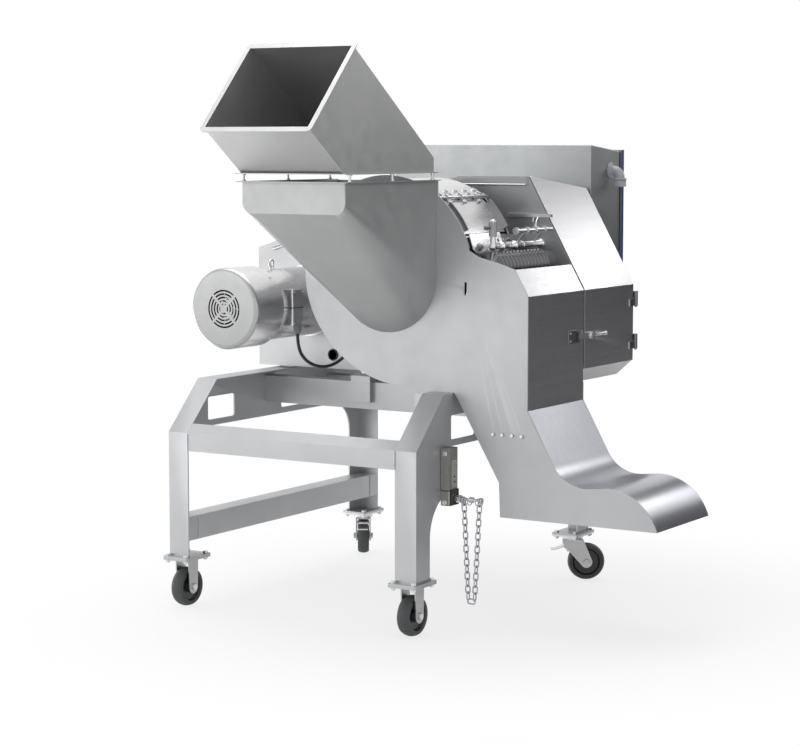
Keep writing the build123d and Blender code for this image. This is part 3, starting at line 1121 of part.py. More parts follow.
# Key interlock on the gusset of the right front leg, with its knob and hanging chain
switch_face = FRAME_RIGHT + SWITCH_OUT
lock_box = box(FRAME_RIGHT, switch_face, *SWITCH_Y, *SWITCH_Z)
lock_box = fillet(lock_box.edges().filter_by(Axis.Z).group_by(Axis.X)[-1], 5)
stub_end = switch_face + STUB_LONG
lock_box += rod_x(KNOB_Y, KNOB_Z, STUB_R, switch_face - 2, stub_end)
save("interlock_box", lock_box)
knob = rod_x(KNOB_Y, KNOB_Z, KNOB_R, switch_face + 1, stub_end + 2)
for i in range(6):
    flute = shift((KNOB_Y, KNOB_Z), i * 60, KNOB_R + 2.5)
    knob -= rod_x(*flute, 4.5, 0, 400)
knob -= rod_x(KNOB_Y, KNOB_Z, STUB_R + PIN_PLAY, switch_face, stub_end + RUN)
nose_end = switch_face + NOSE_LONG
nose_middle = (stub_end + nose_end) / 2
knob += rod_x(KNOB_Y, KNOB_Z, NOSE_ROD, stub_end + 2, nose_end)
knob += rod_x(KNOB_Y, KNOB_Z, COLLAR_R, nose_end - 4, nose_end)
knob += rod_x(KNOB_Y, KNOB_Z, COLLAR_R, nose_middle - 6, nose_middle + 6)
save("interlock_knob", knob)

# Chain: two strands of links that hang from the knob's rod and meet in one bottom link
link_step = LINK_LONG - 2 * WIRE - RUN


def link():
    """One link lying along Z, with its hole facing X."""
    def loop(w, h):
        cut = min(w, h) * 0.29
        a, b = w / 2, h / 2
        return poly((a, cut - b), (a, b - cut), (a - cut, b), (cut - a, b), (-a, b - cut), (-a, cut - b),
                    (cut - a, -b), (a - cut, -b))
    ring = loop(LINK_WIDE, LINK_LONG) - loop(LINK_WIDE - 2 * WIRE, LINK_LONG - 2 * WIRE)
    return along_x(ring, -WIRE / 2, WIRE / 2)


link_top = KNOB_Z + NOSE_ROD + RUN - (LINK_LONG / 2 - WIRE)
strand_x = (stub_end + WIRE + 5.6, nose_end - WIRE - 4.6)
middle_x = sum(strand_x) / 2
meet = LINK_LONG / 2 - WIRE / 2 - 1.0
hang = link_step * (LINKS - 1)
links = []
for side, x in zip((-1, 1), strand_x):
    tilt = degrees(atan2(middle_x + side * meet - x, hang))
    for i in range(LINKS):
        link_x, link_z = shift((x, link_top), tilt - 90, link_step * i)
        links.append(Pos(link_x, KNOB_Y, link_z) * Rot(0, -tilt, 0) * Rot(0, 0, 90 * (i % 2)) * link())
bottom = link_z - LINK_LONG / 2 + 2 * WIRE - LINK_WIDE / 2 - RUN
links.append(Pos(middle_x, KNOB_Y, bottom) * Rot(0, 90, 0) * Rot(0, 0, 90) * link())
save("interlock_chain", join(links))
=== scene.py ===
import bpy
import bmesh
import json
from math import atan2, cos, pi, radians, sin
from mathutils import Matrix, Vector


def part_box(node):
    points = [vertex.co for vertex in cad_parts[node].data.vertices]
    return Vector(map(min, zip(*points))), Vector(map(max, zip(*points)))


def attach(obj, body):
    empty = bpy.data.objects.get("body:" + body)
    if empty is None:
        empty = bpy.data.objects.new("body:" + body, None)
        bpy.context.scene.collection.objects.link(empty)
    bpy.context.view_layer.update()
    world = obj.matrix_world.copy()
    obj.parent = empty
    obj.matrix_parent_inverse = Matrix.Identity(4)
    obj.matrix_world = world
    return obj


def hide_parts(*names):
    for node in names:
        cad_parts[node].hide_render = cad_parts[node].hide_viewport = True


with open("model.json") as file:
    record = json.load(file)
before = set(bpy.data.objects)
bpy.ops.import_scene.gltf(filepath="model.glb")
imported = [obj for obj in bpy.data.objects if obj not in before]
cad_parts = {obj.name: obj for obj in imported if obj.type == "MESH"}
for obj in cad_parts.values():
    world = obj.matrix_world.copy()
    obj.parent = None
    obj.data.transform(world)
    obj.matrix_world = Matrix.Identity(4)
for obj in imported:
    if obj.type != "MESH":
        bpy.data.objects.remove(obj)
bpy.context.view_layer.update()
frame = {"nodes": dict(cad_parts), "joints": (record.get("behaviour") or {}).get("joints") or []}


# Studio: the camera stands where the photograph was taken from. A soft key light from the front left, a wide
# light above, a weak fill from the right and a low one from the left fall on a pale floor. The world is white
# to the eye and in reflections, and lights the machine only weakly.
scene = bpy.context.scene
scene.view_settings.view_transform = "Standard"

LENS, SENSOR_WIDTH, FAR_END = 100.58, 36.0, 200.0
CAMERA_PLACE = (3.72358, -5.88182, 1.5)
CAMERA_WAY = (-0.52711, 0.84356, -0.10279)
camera = bpy.data.objects.new("camera", bpy.data.cameras.new("camera"))
camera.data.lens = LENS
camera.data.sensor_width = SENSOR_WIDTH
camera.data.clip_end = FAR_END
camera.location = CAMERA_PLACE
camera.rotation_euler = Vector(CAMERA_WAY).to_track_quat("-Z", "Y").to_euler()
scene.collection.objects.link(camera)
scene.camera = camera

MACHINE_MIDDLE = (0.0, 0.2, 0.9)
LAMPS = (  # name, place, aim, width and height, watts
    ("key_light", (-4.5, -5.0, 1.9), MACHINE_MIDDLE, (5.6, 3.4), 82),
    ("top_light", (-0.6, 0.6, 5.0), MACHINE_MIDDLE, (4.5, 4.5), 140),
    ("fill_light", (5.2, -3.2, 2.6), MACHINE_MIDDLE, (2.2, 2.6), 14),
    ("low_light", (-1.9, 0.0, 0.1), (0.0, -0.5, 1.5), (1.6, 1.6), 26),
)
for name, place, aim, size, watts in LAMPS:
    lamp = bpy.data.lights.new(name, "AREA")
    lamp.shape = "RECTANGLE"
    lamp.size, lamp.size_y = size
    lamp.energy = watts
    light = bpy.data.objects.new(name, lamp)
    light.location = place
    light.rotation_euler = (Vector(aim) - Vector(place)).to_track_quat("-Z", "Y").to_euler()
    light.visible_camera = False
    scene.collection.objects.link(light)


def fitted(tree, kind, values=None, **settings):
    """New node with its settings and its fixed inputs."""
    node = tree.nodes.new(kind)
    for setting, choice in settings.items():
        setattr(node, setting, choice)
    for label, value in (values or {}).items():
        node.inputs[label].default_value = value
    return node


def worked(tree, operation, first, second):
    """Result of a sum on two sockets or numbers."""
    sum_node = fitted(tree, "ShaderNodeMath", operation=operation)
    for socket, value in zip(sum_node.inputs, (first, second)):
        if isinstance(value, float):
            socket.default_value = value
        else:
            tree.links.new(value, socket)
    return sum_node.outputs[0]


def joined(tree, *pairs):
    """Link each output to its input."""
    for source, socket in pairs:
        tree.links.new(source, socket)


SKY_COLOUR, SKY_STRENGTH = (0.86, 0.88, 0.9, 1.0), 0.36
WHITE = (1.0, 1.0, 1.0, 1.0)
world = bpy.data.worlds.new("studio")
world.use_nodes = True
scene.world = world
air = world.node_tree
air.nodes.clear()
ambient = fitted(air, "ShaderNodeBackground", {"Color": SKY_COLOUR, "Strength": SKY_STRENGTH})
backdrop = fitted(air, "ShaderNodeBackground", {"Color": WHITE})
rays = air.nodes.new("ShaderNodeLightPath")
mirrored = worked(air, "MAXIMUM", rays.outputs["Is Glossy Ray"], rays.outputs["Is Transmission Ray"])
seen = worked(air, "MAXIMUM", rays.outputs["Is Camera Ray"], mirrored)
pick = air.nodes.new("ShaderNodeMixShader")
sky = air.nodes.new("ShaderNodeOutputWorld")
joined(air, (seen, pick.inputs[0]), (ambient.outputs[0], pick.inputs[1]),
       (backdrop.outputs[0], pick.inputs[2]), (pick.outputs[0], sky.inputs[0]))


# Floor: a matt sheet that runs far past the view. Round the machine it takes the lamps' light and shadows,
# and further out it fades into the white of the backdrop.
FLOOR_HALF, FLOOR_COLOUR, MATT = 40.0, (0.9, 0.9, 0.9, 1.0), 0.9
FADE_MIDDLE, FADE_FROM, FADE_TO, FADE_LEAST = (0.1, 0.4, 0.0), 0.5, 1.8, 0.77


def plain_sheet(name, corners, colour):
    """Flat matt sheet of the studio, from its four corners."""
    mesh = bpy.data.meshes.new(name)
    mesh.from_pydata(corners, [], [(0, 1, 2, 3)])
    card = bpy.data.objects.new(name, mesh)
    scene.collection.objects.link(card)
    paint = bpy.data.materials.new(name)
    paint.use_nodes = True
    shader = paint.node_tree.nodes["Principled BSDF"]
    shader.inputs["Base Color"].default_value = colour
    shader.inputs["Roughness"].default_value = MATT
    mesh.materials.append(paint)
    return card


floor_corners = [(x * FLOOR_HALF, y * FLOOR_HALF, 0) for x, y in ((-1, -1), (1, -1), (1, 1), (-1, 1))]
ground = plain_sheet("floor", floor_corners, FLOOR_COLOUR).data.materials[0].node_tree
glow = fitted(ground, "ShaderNodeEmission", {"Strength": 1.0})
rays = ground.nodes.new("ShaderNodeLightPath")
floor_place = ground.nodes.new("ShaderNodeTexCoord")
reach = fitted(ground, "ShaderNodeVectorMath", {1: FADE_MIDDLE}, operation="DISTANCE")
fade = fitted(ground, "ShaderNodeMapRange", {"From Min": FADE_FROM, "From Max": FADE_TO, "To Min": FADE_LEAST},
              interpolation_type="SMOOTHERSTEP")
seen = worked(ground, "MAXIMUM", rays.outputs["Is Camera Ray"], rays.outputs["Is Glossy Ray"])
share = worked(ground, "MULTIPLY", seen, fade.outputs[0])
mix = ground.nodes.new("ShaderNodeMixShader")
joined(ground, (floor_place.outputs["Object"], reach.inputs[0]),
       (reach.outputs["Value"], fade.inputs["Value"]), (share, mix.inputs[0]),
       (ground.nodes["Principled BSDF"].outputs[0], mix.inputs[1]), (glow.outputs[0], mix.inputs[2]),
       (mix.outputs[0], ground.nodes["Material Output"].inputs["Surface"]))


# Reflection cards: seven dark grey flags and one bright soft box, seen only in reflections. The flags stand
# on the right and behind and turn the right-hand sides darker. The soft box behind on the right puts the
# bright bands on the chute and the slanted panels.
FLAGS = (  # name, near end, far end, heights, grey
    ("far_flag", (3.0, 1.0), (1.6, 7.5), (0.0, 1.75), 0.15),
    ("low_flag", (2.0, 0.4), (1.2, 3.0), (0.0, 1.1), 0.14),
    ("back_flag", (-0.7, 2.7), (1.0, 2.7), (1.75, 2.5), 0.09),
    ("chute_flag", (-0.1, 1.1), (0.36, 1.1), (0.4, 0.78), 0.05),
    ("leg_flag", (0.8, 0.45), (0.8, 2.6), (0.0, 0.4), 0.09),
    ("bin_flag", (1.0, 1.25), (1.75, 0.95), (1.3, 2.2), 0.09),
    ("box_flag", (0.50, 1.6), (0.95, 1.6), (0.85, 1.38), 0.05),
)
FLAG_BLUE = 1.06


def only_mirrored(card):
    """Hide a card from all but reflections."""
    card.visible_camera = False
    card.visible_shadow = False
    card.visible_diffuse = False


for name, near, far, (low, high), grey in FLAGS:
    corners = [(*near, low), (*far, low), (*far, high), (*near, high)]
    only_mirrored(plain_sheet(name, corners, (grey, grey, grey * FLAG_BLUE, 1.0)))

RIM_MIDDLE, RIM_AIM = Vector((1.56, 3.03, 2.24)), Vector((0.5, 0.3, 0.9))
RIM_HALF_WIDE, RIM_HALF_TALL, RIM_GLOW = 0.55, 0.16, 6.0
rim_way = (RIM_AIM - RIM_MIDDLE).normalized()
rim_across = Vector((0, 0, 1)).cross(rim_way).normalized() * RIM_HALF_WIDE
rim_up = rim_way.cross(rim_across).normalized() * RIM_HALF_TALL
rim = plain_sheet("rim_card", [RIM_MIDDLE - rim_across - rim_up, RIM_MIDDLE + rim_across - rim_up,
                               RIM_MIDDLE + rim_across + rim_up, RIM_MIDDLE - rim_across + rim_up], WHITE)
rim_shader = rim.data.materials[0].node_tree.nodes["Principled BSDF"]
rim_shader.inputs["Emission Color"].default_value = WHITE
rim_shader.inputs["Emission Strength"].default_value = RIM_GLOW
only_mirrored(rim)


# Side frames: bead-blasted stainless sheet, folded, with the flange corners welded and dressed flush.
# The slanted shoulders and the arched lower edge are one piece with the legs.
NOISE_LOW, NOISE_HIGH = 0.3, 0.7      # the reach of the noise that is spread over a finish
CLOUD_SIZE, SMUDGE_SIZE, PIT_SIZE, PIT_DEPTH = 0.35, 0.06, 0.0012, 0.00004
MERGE_REACH, FLAT_TURN, SHARP_TURN, EDGE_TURN = 2e-6, radians(0.6), radians(32), radians(40)
FOLD_LONG, FOLD_WIDE, FOLD_TURN = 0.03, 0.02, radians(25)


def bare_material(name):
    """New finish with its node tree, its shader and the place on the piece."""
    finish = bpy.data.materials.new(name)
    finish.use_nodes = True
    tree = finish.node_tree
    return finish, tree, tree.nodes["Principled BSDF"], tree.nodes.new("ShaderNodeTexCoord").outputs["Object"]


def noise(tree, place, size, detail=3.0, rough=0.55, stretch=(1, 1, 1)):
    """Noise with features about size metres wide, stretched along the axes."""
    scaled = fitted(tree, "ShaderNodeMapping", {"Scale": [1 / (size * s) for s in stretch]})
    grain = fitted(tree, "ShaderNodeTexNoise", {"Scale": 1.0, "Detail": detail, "Roughness": rough})
    joined(tree, (place, scaled.inputs["Vector"]), (scaled.outputs[0], grain.inputs["Vector"]))
    return grain.outputs["Fac"]


def span(tree, value, low, high):
    """Noise mapped to low..high."""
    ramp = fitted(tree, "ShaderNodeMapRange",
                  {"From Min": NOISE_LOW, "From Max": NOISE_HIGH, "To Min": low, "To Max": high})
    joined(tree, (value, ramp.inputs["Value"]))
    return ramp.outputs[0]


def two_tone(tree, factor, colour, dark, light):
    """Colour that runs from a darker to a lighter share of itself."""
    darker, lighter = [c * dark for c in colour], [min(1.0, c * light) for c in colour]
    mix = fitted(tree, "ShaderNodeMix", {"A": (*darker, 1), "B": (*lighter, 1)}, data_type="RGBA")
    joined(tree, (factor, mix.inputs["Factor"]))
    return mix.outputs["Result"]


def raise_bump(tree, shader, value, height):
    """Fine relief of a given height in metres."""
    bump = fitted(tree, "ShaderNodeBump", {"Strength": 0.5, "Distance": height})
    joined(tree, (value, bump.inputs["Height"]), (bump.outputs[0], shader.inputs["Normal"]))


def blasted_steel(name, colour, roughness=0.42, metal=0.85):
    """Bead-blasted stainless: an even satin with faint clouds, smudges and a fine pitted skin."""
    finish, tree, shader, place = bare_material(name)
    clouds = span(tree, noise(tree, place, CLOUD_SIZE, 4), 0, 1)
    smudges = noise(tree, place, SMUDGE_SIZE, 5, 0.7)
    joined(tree, (two_tone(tree, clouds, colour, 0.93, 1.05), shader.inputs["Base Color"]),
           (span(tree, smudges, roughness - 0.05, roughness + 0.06), shader.inputs["Roughness"]))
    shader.inputs["Metallic"].default_value = metal
    raise_bump(tree, shader, noise(tree, place, PIT_SIZE, 2), PIT_DEPTH)
    return finish


def soft_edge(piece, width, fold=0.0):
    """Small radius on the sharp edges, or a bend radius on the marked folds."""
    edge = piece.modifiers.new("edge", "BEVEL")
    edge.width = fold or width
    edge.segments = 4 if fold else 2
    edge.limit_method = "WEIGHT" if fold else "ANGLE"
    edge.angle_limit = EDGE_TURN
    edge.use_clamp_overlap = not fold
    edge.harden_normals = not fold
    if fold:
        level = piece.modifiers.new("level", "WEIGHTED_NORMAL")
        level.weight = 100
        level.keep_sharp = True


def dressed(node, body, finish, bevel=0.0, fold=0.0):
    """A merged copy of a CAD node with soft normals and a small edge radius, or with rounded folds."""
    mesh = frame["nodes"][node].data.copy()
    work = bmesh.new()
    work.from_mesh(mesh)
    bmesh.ops.remove_doubles(work, verts=work.verts, dist=MERGE_REACH)
    if bevel:
        bmesh.ops.dissolve_limit(work, angle_limit=FLAT_TURN, verts=work.verts, edges=work.edges)
    if fold:
        weights = work.edges.layers.float.new("bevel_weight_edge")
        for edge in work.edges:
            if len(edge.link_faces) != 2 or edge.calc_length() < FOLD_LONG:
                continue
            wide = min(face.calc_area() for face in edge.link_faces) / edge.calc_length()
            if edge.calc_face_angle_signed() >= FOLD_TURN and wide > FOLD_WIDE:
                edge[weights] = 1.0
    work.to_mesh(mesh)
    work.free()
    mesh.materials.clear()
    mesh.materials.append(finish)
    mesh.shade_smooth()
    mesh.set_sharp_from_angle(angle=SHARP_TURN)
    piece = bpy.data.objects.new(node + "_finished", mesh)
    scene.collection.objects.link(piece)
    if bevel:
        soft_edge(piece, bevel, fold)
    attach(piece, body)
    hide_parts(node)
    return piece


FRAME_STEEL = blasted_steel("frame_blasted_steel", (0.49, 0.50, 0.512))
for node in ("left_side_frame", "right_side_frame"):
    dressed(node, "machine", FRAME_STEEL, bevel=0.0008)


# Cross members: a folded front beam, two channels and a tube low on the left, all of the same
# blasted sheet, welded between the side frames.
for node in ("front_beam", "cross_channels", "low_side_beam", "housing_rests"):
    dressed(node, "machine", FRAME_STEEL, bevel=0.0006)


# Gusset tab: a small upright plate of the frame's sheet inside the right shoulder. It is welded to the leg
# and stiffens the corner over the beam.
SMALL_SHARP_TURN = radians(35)
TAB_LOW, TAB_HIGH = (0.140, -0.062, 0.626), (0.168, -0.058, 0.731)


def block(work, low, high):
    """Box between two corners."""
    spots = [work.verts.new((x, y, z))
             for x in (low[0], high[0]) for y in (low[1], high[1]) for z in (low[2], high[2])]
    for face in ((0, 1, 3, 2), (4, 6, 7, 5), (0, 4, 5, 1), (2, 3, 7, 6), (0, 2, 6, 4), (1, 5, 7, 3)):
        work.faces.new([spots[i] for i in face])


def made(name, work, finish, body, bevel=0.0005):
    """Small made piece: normals outwards, soft edges."""
    bmesh.ops.recalc_face_normals(work, faces=work.faces)
    mesh = bpy.data.meshes.new(name)
    work.to_mesh(mesh)
    work.free()
    mesh.materials.append(finish)
    mesh.shade_smooth()
    mesh.set_sharp_from_angle(angle=SMALL_SHARP_TURN)
    piece = bpy.data.objects.new(name, mesh)
    scene.collection.objects.link(piece)
    if bevel:
        soft_edge(piece, bevel)
    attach(piece, body)
    return piece


work = bmesh.new()
block(work, TAB_LOW, TAB_HIGH)
made("gusset_tab", work, FRAME_STEEL, "machine")


# Weld beads: short rippled runs of bright weld metal where the cross members meet the side frames.
# They are left as welded.
SCRATCH_SIZE, STREAK_SIZE, SCRATCH_DEPTH, STREAK_STRETCH = 0.0009, 0.018, 0.00003, 30
BEAD_SIDES, BEAD_RINGS, BEAD_FLAT, BEAD_STEP = 8, 5, 0.45, 0.34
BEAD_OUT, BEAD_END = 0.0004, 0.002    # beads stand proud of the seam and stop short of its ends
LEG_INNER, BEAM_NOTCH = (-0.617, 0.167), 0.030
CHANNEL_FACE_Y, CHANNEL_SPAN_Z, CHANNEL_OUT = 0.314, (0.616, 0.706), 0.0006
TUBE_SEAT, TUBE_CORNER, TUBE_BEAD = 0.080, 0.0025, 0.004


def grained_steel(name, colour, stretch, roughness=0.3, metal=0.95, contrast=0.10):
    """Brushed stainless: fine scratches that run along the stretched axis, over broad streaks."""
    finish, tree, shader, place = bare_material(name)
    scratches = noise(tree, place, SCRATCH_SIZE, 4, 0.7, stretch)
    streaks = noise(tree, place, STREAK_SIZE, 3, 0.6, [min(s, STREAK_STRETCH) for s in stretch])
    both = worked(tree, "ADD", span(tree, scratches, 0, 0.6), span(tree, streaks, 0, 0.4))
    joined(tree, (two_tone(tree, both, colour, 1 - contrast, 1 + contrast), shader.inputs["Base Color"]),
           (span(tree, scratches, roughness - 0.06, roughness + 0.1), shader.inputs["Roughness"]))
    shader.inputs["Metallic"].default_value = metal
    raise_bump(tree, shader, scratches, SCRATCH_DEPTH)
    return finish


def node_tool(name, sizes):
    """Empty geometry tree with a mesh input, named sizes and a material."""
    tree = bpy.data.node_groups.new(name, "GeometryNodeTree")
    tree.interface.new_socket("Geometry", in_out="INPUT", socket_type="NodeSocketGeometry")
    for label, value in sizes.items():
        kind = "NodeSocketInt" if isinstance(value, int) else "NodeSocketFloat"
        tree.interface.new_socket(label, in_out="INPUT", socket_type=kind).default_value = value
    tree.interface.new_socket("Material", in_out="INPUT", socket_type="NodeSocketMaterial")
    tree.interface.new_socket("Geometry", in_out="OUTPUT", socket_type="NodeSocketGeometry")
    return tree, tree.nodes.new("NodeGroupInput").outputs, tree.nodes.new("NodeGroupOutput").inputs


def finish_tool(tree, given, result, instances):
    """Realise the instances and give them the material."""
    real = tree.nodes.new("GeometryNodeRealizeInstances")
    paint = tree.nodes.new("GeometryNodeSetMaterial")
    joined(tree, (instances, real.inputs[0]), (real.outputs[0], paint.inputs["Geometry"]),
           (given["Material"], paint.inputs["Material"]), (paint.outputs[0], result[0]))


def grown(name, mesh, tree, values, finish, body):
    """Run a geometry tree on a guide mesh and keep the result as a plain mesh."""
    piece = bpy.data.objects.new(name, mesh)
    scene.collection.objects.link(piece)
    tool = piece.modifiers.new("tool", "NODES")
    tool.node_group = tree
    for socket in tree.interface.items_tree:
        if socket.in_out == "INPUT" and socket.name in values:
            tool[socket.identifier] = values[socket.name]
        if socket.in_out == "INPUT" and socket.name == "Material":
            tool[socket.identifier] = finish
    plain = bpy.data.meshes.new_from_object(piece.evaluated_get(bpy.context.evaluated_depsgraph_get()))
    piece.modifiers.clear()
    piece.data = plain
    plain.shade_smooth()
    plain.set_sharp_from_angle(angle=SMALL_SHARP_TURN)
    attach(piece, body)
    return piece


def guide(name, points, edges=(), **vectors):
    """Guide mesh of bare points or runs, with a direction stored on each point."""
    mesh = bpy.data.meshes.new(name)
    mesh.from_pydata([Vector(p) for p in points], edges, [])
    for label, values in vectors.items():
        stored = mesh.attributes.new(label, "FLOAT_VECTOR", "POINT")
        stored.data.foreach_set("vector", [c for value in values for c in Vector(value).normalized()])
    return mesh


BEAD_TOOL, given, result = node_tool("weld_bead", {"Width": 0.006, "Step": 0.0022})
bead_line = fitted(BEAD_TOOL, "GeometryNodeMeshToCurve")
bead_steps = fitted(BEAD_TOOL, "GeometryNodeResampleCurve", mode="LENGTH")
ripple = fitted(BEAD_TOOL, "GeometryNodeMeshUVSphere", {"Segments": BEAD_SIDES, "Rings": BEAD_RINGS})
on_line = fitted(BEAD_TOOL, "GeometryNodeInstanceOnPoints", {"Scale": (1.0, 1.0, BEAD_FLAT)})
heading = fitted(BEAD_TOOL, "GeometryNodeInputTangent")
facing = fitted(BEAD_TOOL, "FunctionNodeAlignRotationToVector", axis="Z")
joined(BEAD_TOOL, (given["Geometry"], bead_line.inputs[0]),
       (bead_line.outputs[0], bead_steps.inputs["Curve"]), (given["Step"], bead_steps.inputs["Length"]),
       (worked(BEAD_TOOL, "MULTIPLY", given["Width"], 0.5), ripple.inputs["Radius"]),
       (bead_steps.outputs[0], on_line.inputs["Points"]),
       (ripple.outputs["Mesh"], on_line.inputs["Instance"]), (heading.outputs[0], facing.inputs["Vector"]),
       (facing.outputs[0], on_line.inputs["Rotation"]))
finish_tool(BEAD_TOOL, given, result, on_line.outputs[0])

WELD_STEEL = grained_steel("weld_bead_steel", (0.62, 0.62, 0.63), (1, 1, 1), 0.3, 1.0, 0.12)


def weld(name, runs, width=0.005):
    """Rippled beads along runs of points."""
    points, edges = [], []
    for run in runs:
        first = len(points)
        points.extend(run)
        edges.extend((i, i + 1) for i in range(first, len(points) - 1))
    values = {"Width": width, "Step": width * BEAD_STEP}
    return grown(name, guide(name, points, edges), BEAD_TOOL, values, WELD_STEEL, "machine")


beam_low, beam_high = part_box("front_beam")
channel_low, channel_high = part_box("cross_channels")
frame_low, frame_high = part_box("left_side_frame")
tube_low, tube_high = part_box("low_side_beam")
beam_runs = [[(x, beam_low.y - BEAD_OUT, z) for z in (beam_low.z + BEAD_END, beam_high.z - BEAM_NOTCH)]
             for x in LEG_INNER]
beam_runs += [[(x, CHANNEL_FACE_Y - CHANNEL_OUT, z)
               for z in (CHANNEL_SPAN_Z[0] + BEAD_END, CHANNEL_SPAN_Z[1] - BEAD_END)]
              for x in (channel_low.x + CHANNEL_OUT, channel_high.x - CHANNEL_OUT)]
weld("frame_weld_beads", beam_runs)
tube_runs = [[(tube_high.x + BEAD_OUT, y, z) for z in (tube_low.z + TUBE_CORNER, tube_high.z - TUBE_CORNER)]
             for y in (frame_low.y + TUBE_SEAT, frame_high.y - TUBE_SEAT)]
weld("low_tube_weld_beads", tube_runs, TUBE_BEAD)


# Casters: plated steel plates, forks and nuts under each leg, two rigid in front and two that swivel behind.
# Four bolts hold each plate to its leg pad, and the rear forks carry a brake pedal.
PLATED = grained_steel("plated_steel", (0.66, 0.66, 0.67), (3, 3, 1), 0.28, 1.0, 0.06)
FORK_STEEL = grained_steel("fork_steel", (0.46, 0.46, 0.465), (3, 3, 1), 0.36, 0.95, 0.10)
for node in ("swivel_races", "caster_bolts", "front_axles"):
    dressed(node, "machine", PLATED, bevel=0.0004)
dressed("front_forks", "machine", FORK_STEEL, bevel=0.0004)
for side in ("left", "right"):
    dressed(f"rear_{side}_fork", f"rear_{side}_swivel", FORK_STEEL, bevel=0.0004)
    dressed(f"rear_{side}_brake_pedal", f"rear_{side}_brake", PLATED, bevel=0.0004)


# Wheels: glossy black moulded centres with a softer dark grey tread, an outer band that is cast on
# and stands a hair proud.
WEAR_SIZE, TREAD_FROM = 0.03, 0.0575
WHEELS = ("front_left_wheel", "front_right_wheel", "rear_left_wheel", "rear_right_wheel")


def moulded(name, colour, roughness, grain=0.0006, height=0.00004):
    """Plastic, rubber or paint: a fine skin with patches of wear."""
    finish, tree, shader, place = bare_material(name)
    wear = noise(tree, place, WEAR_SIZE, 5, 0.65)
    joined(tree, (two_tone(tree, span(tree, wear, 0, 1), colour, 0.85, 1.2), shader.inputs["Base Color"]),
           (span(tree, wear, roughness - 0.06, roughness + 0.08), shader.inputs["Roughness"]))
    raise_bump(tree, shader, noise(tree, place, grain, 2), height)
    return finish


def refinished(piece, finish, chosen):
    """Give the faces that a test picks another finish."""
    piece.data.materials.append(finish)
    for face in piece.data.polygons:
        if chosen(face):
            face.material_index = len(piece.data.materials) - 1


HUB_BLACK = moulded("hub_black", (0.02, 0.02, 0.022), 0.3)
TREAD_GREY = moulded("tread_grey", (0.085, 0.09, 0.092), 0.62, 0.0015, 0.00012)
for body in WHEELS:
    wheel = dressed(body, body, HUB_BLACK, bevel=0.0006)
    joint = next(j for j in frame["joints"] if j["child"] == body)
    hub_middle, hub_way = Vector(joint["pos_m"]), Vector(joint["axis"]).normalized()
    refinished(wheel, TREAD_GREY, lambda face: (face.center - hub_middle).cross(hub_way).length > TREAD_FROM)


# Hoppers: welded blasted sheet; the upper bin has a rim folded outwards and stands on six spacers
# over the lower trough, which is drawn out to the round feed hole.
UPPER_STEEL = blasted_steel("upper_hopper_blasted_steel", (0.50, 0.503, 0.50), 0.46, 0.78)
LOWER_STEEL = blasted_steel("lower_hopper_blasted_steel", (0.435, 0.44, 0.44), 0.46, 0.78)
dressed("upper_hopper", "machine", UPPER_STEEL, bevel=0.0006, fold=0.003)
dressed("lower_hopper", "machine", LOWER_STEEL, bevel=0.0006, fold=0.003)
dressed("hopper_spacers", "machine", PLATED, bevel=0.0003)


# Side plate and case: one large blasted sheet with four weld studs; behind it the rolled impeller case,
# the wrap sheet below, and the lower sheets of the chute.
PLATE_STEEL = blasted_steel("plate_blasted_steel", (0.49, 0.50, 0.512), 0.48, 0.75)
CASE_STEEL = grained_steel("case_steel", (0.66, 0.66, 0.67), (1, 40, 1), 0.25, 1.0, 0.06)
dressed("side_plate", "machine", PLATE_STEEL, bevel=0.0006)
dressed("lower_sheets", "machine", PLATE_STEEL, bevel=0.0005)
dressed("impeller_case", "machine", CASE_STEEL, bevel=0.0004)
dressed("gate_strip", "machine", CASE_STEEL, bevel=0.0003)
dressed("slice_gate", "slice_gate", CASE_STEEL, bevel=0.0004)


# Gate ribs: two curved flat bars of darker steel, welded on edge along the sides of the slice gate
# to keep it stiff. They swing with the gate.
AXIS_Z = 1.089
RIBS = ((0.030, 0.3105), (0.266, 0.3165))          # place across, outer radius
RIB_INNER, RIB_THICK, RIB_FROM, RIB_STEP, RIB_POINTS = 0.2948, 0.005, 27.5, 1.5, 14


def prism(work, corners, way):
    """Plate: a flat outline pushed along a vector."""
    lower = [work.verts.new(corner) for corner in corners]
    upper = [work.verts.new(Vector(corner) + Vector(way)) for corner in corners]
    work.faces.new(lower)
    work.faces.new(upper[::-1])
    for i in range(len(lower)):
        work.faces.new((lower[i - 1], lower[i], upper[i], upper[i - 1]))


def on_arc(radius, turn, y):
    """Point about the impeller axis, at an angle above +X."""
    return Vector((radius * cos(radians(turn)), y, AXIS_Z + radius * sin(radians(turn))))


work = bmesh.new()
rib_turns = [RIB_FROM + i * RIB_STEP for i in range(RIB_POINTS)]
for y, outer in RIBS:
    outer_edge = [on_arc(outer, a, y) for a in rib_turns]
    inner_edge = [on_arc(RIB_INNER, a, y) for a in reversed(rib_turns)]
    prism(work, outer_edge + inner_edge, (0, RIB_THICK, 0))
RIB_STEEL = grained_steel("rib_steel", (0.34, 0.34, 0.35), (1, 1, 1), 0.3, 1.0, 0.08)
made("gate_ribs", work, RIB_STEEL, "slice_gate")


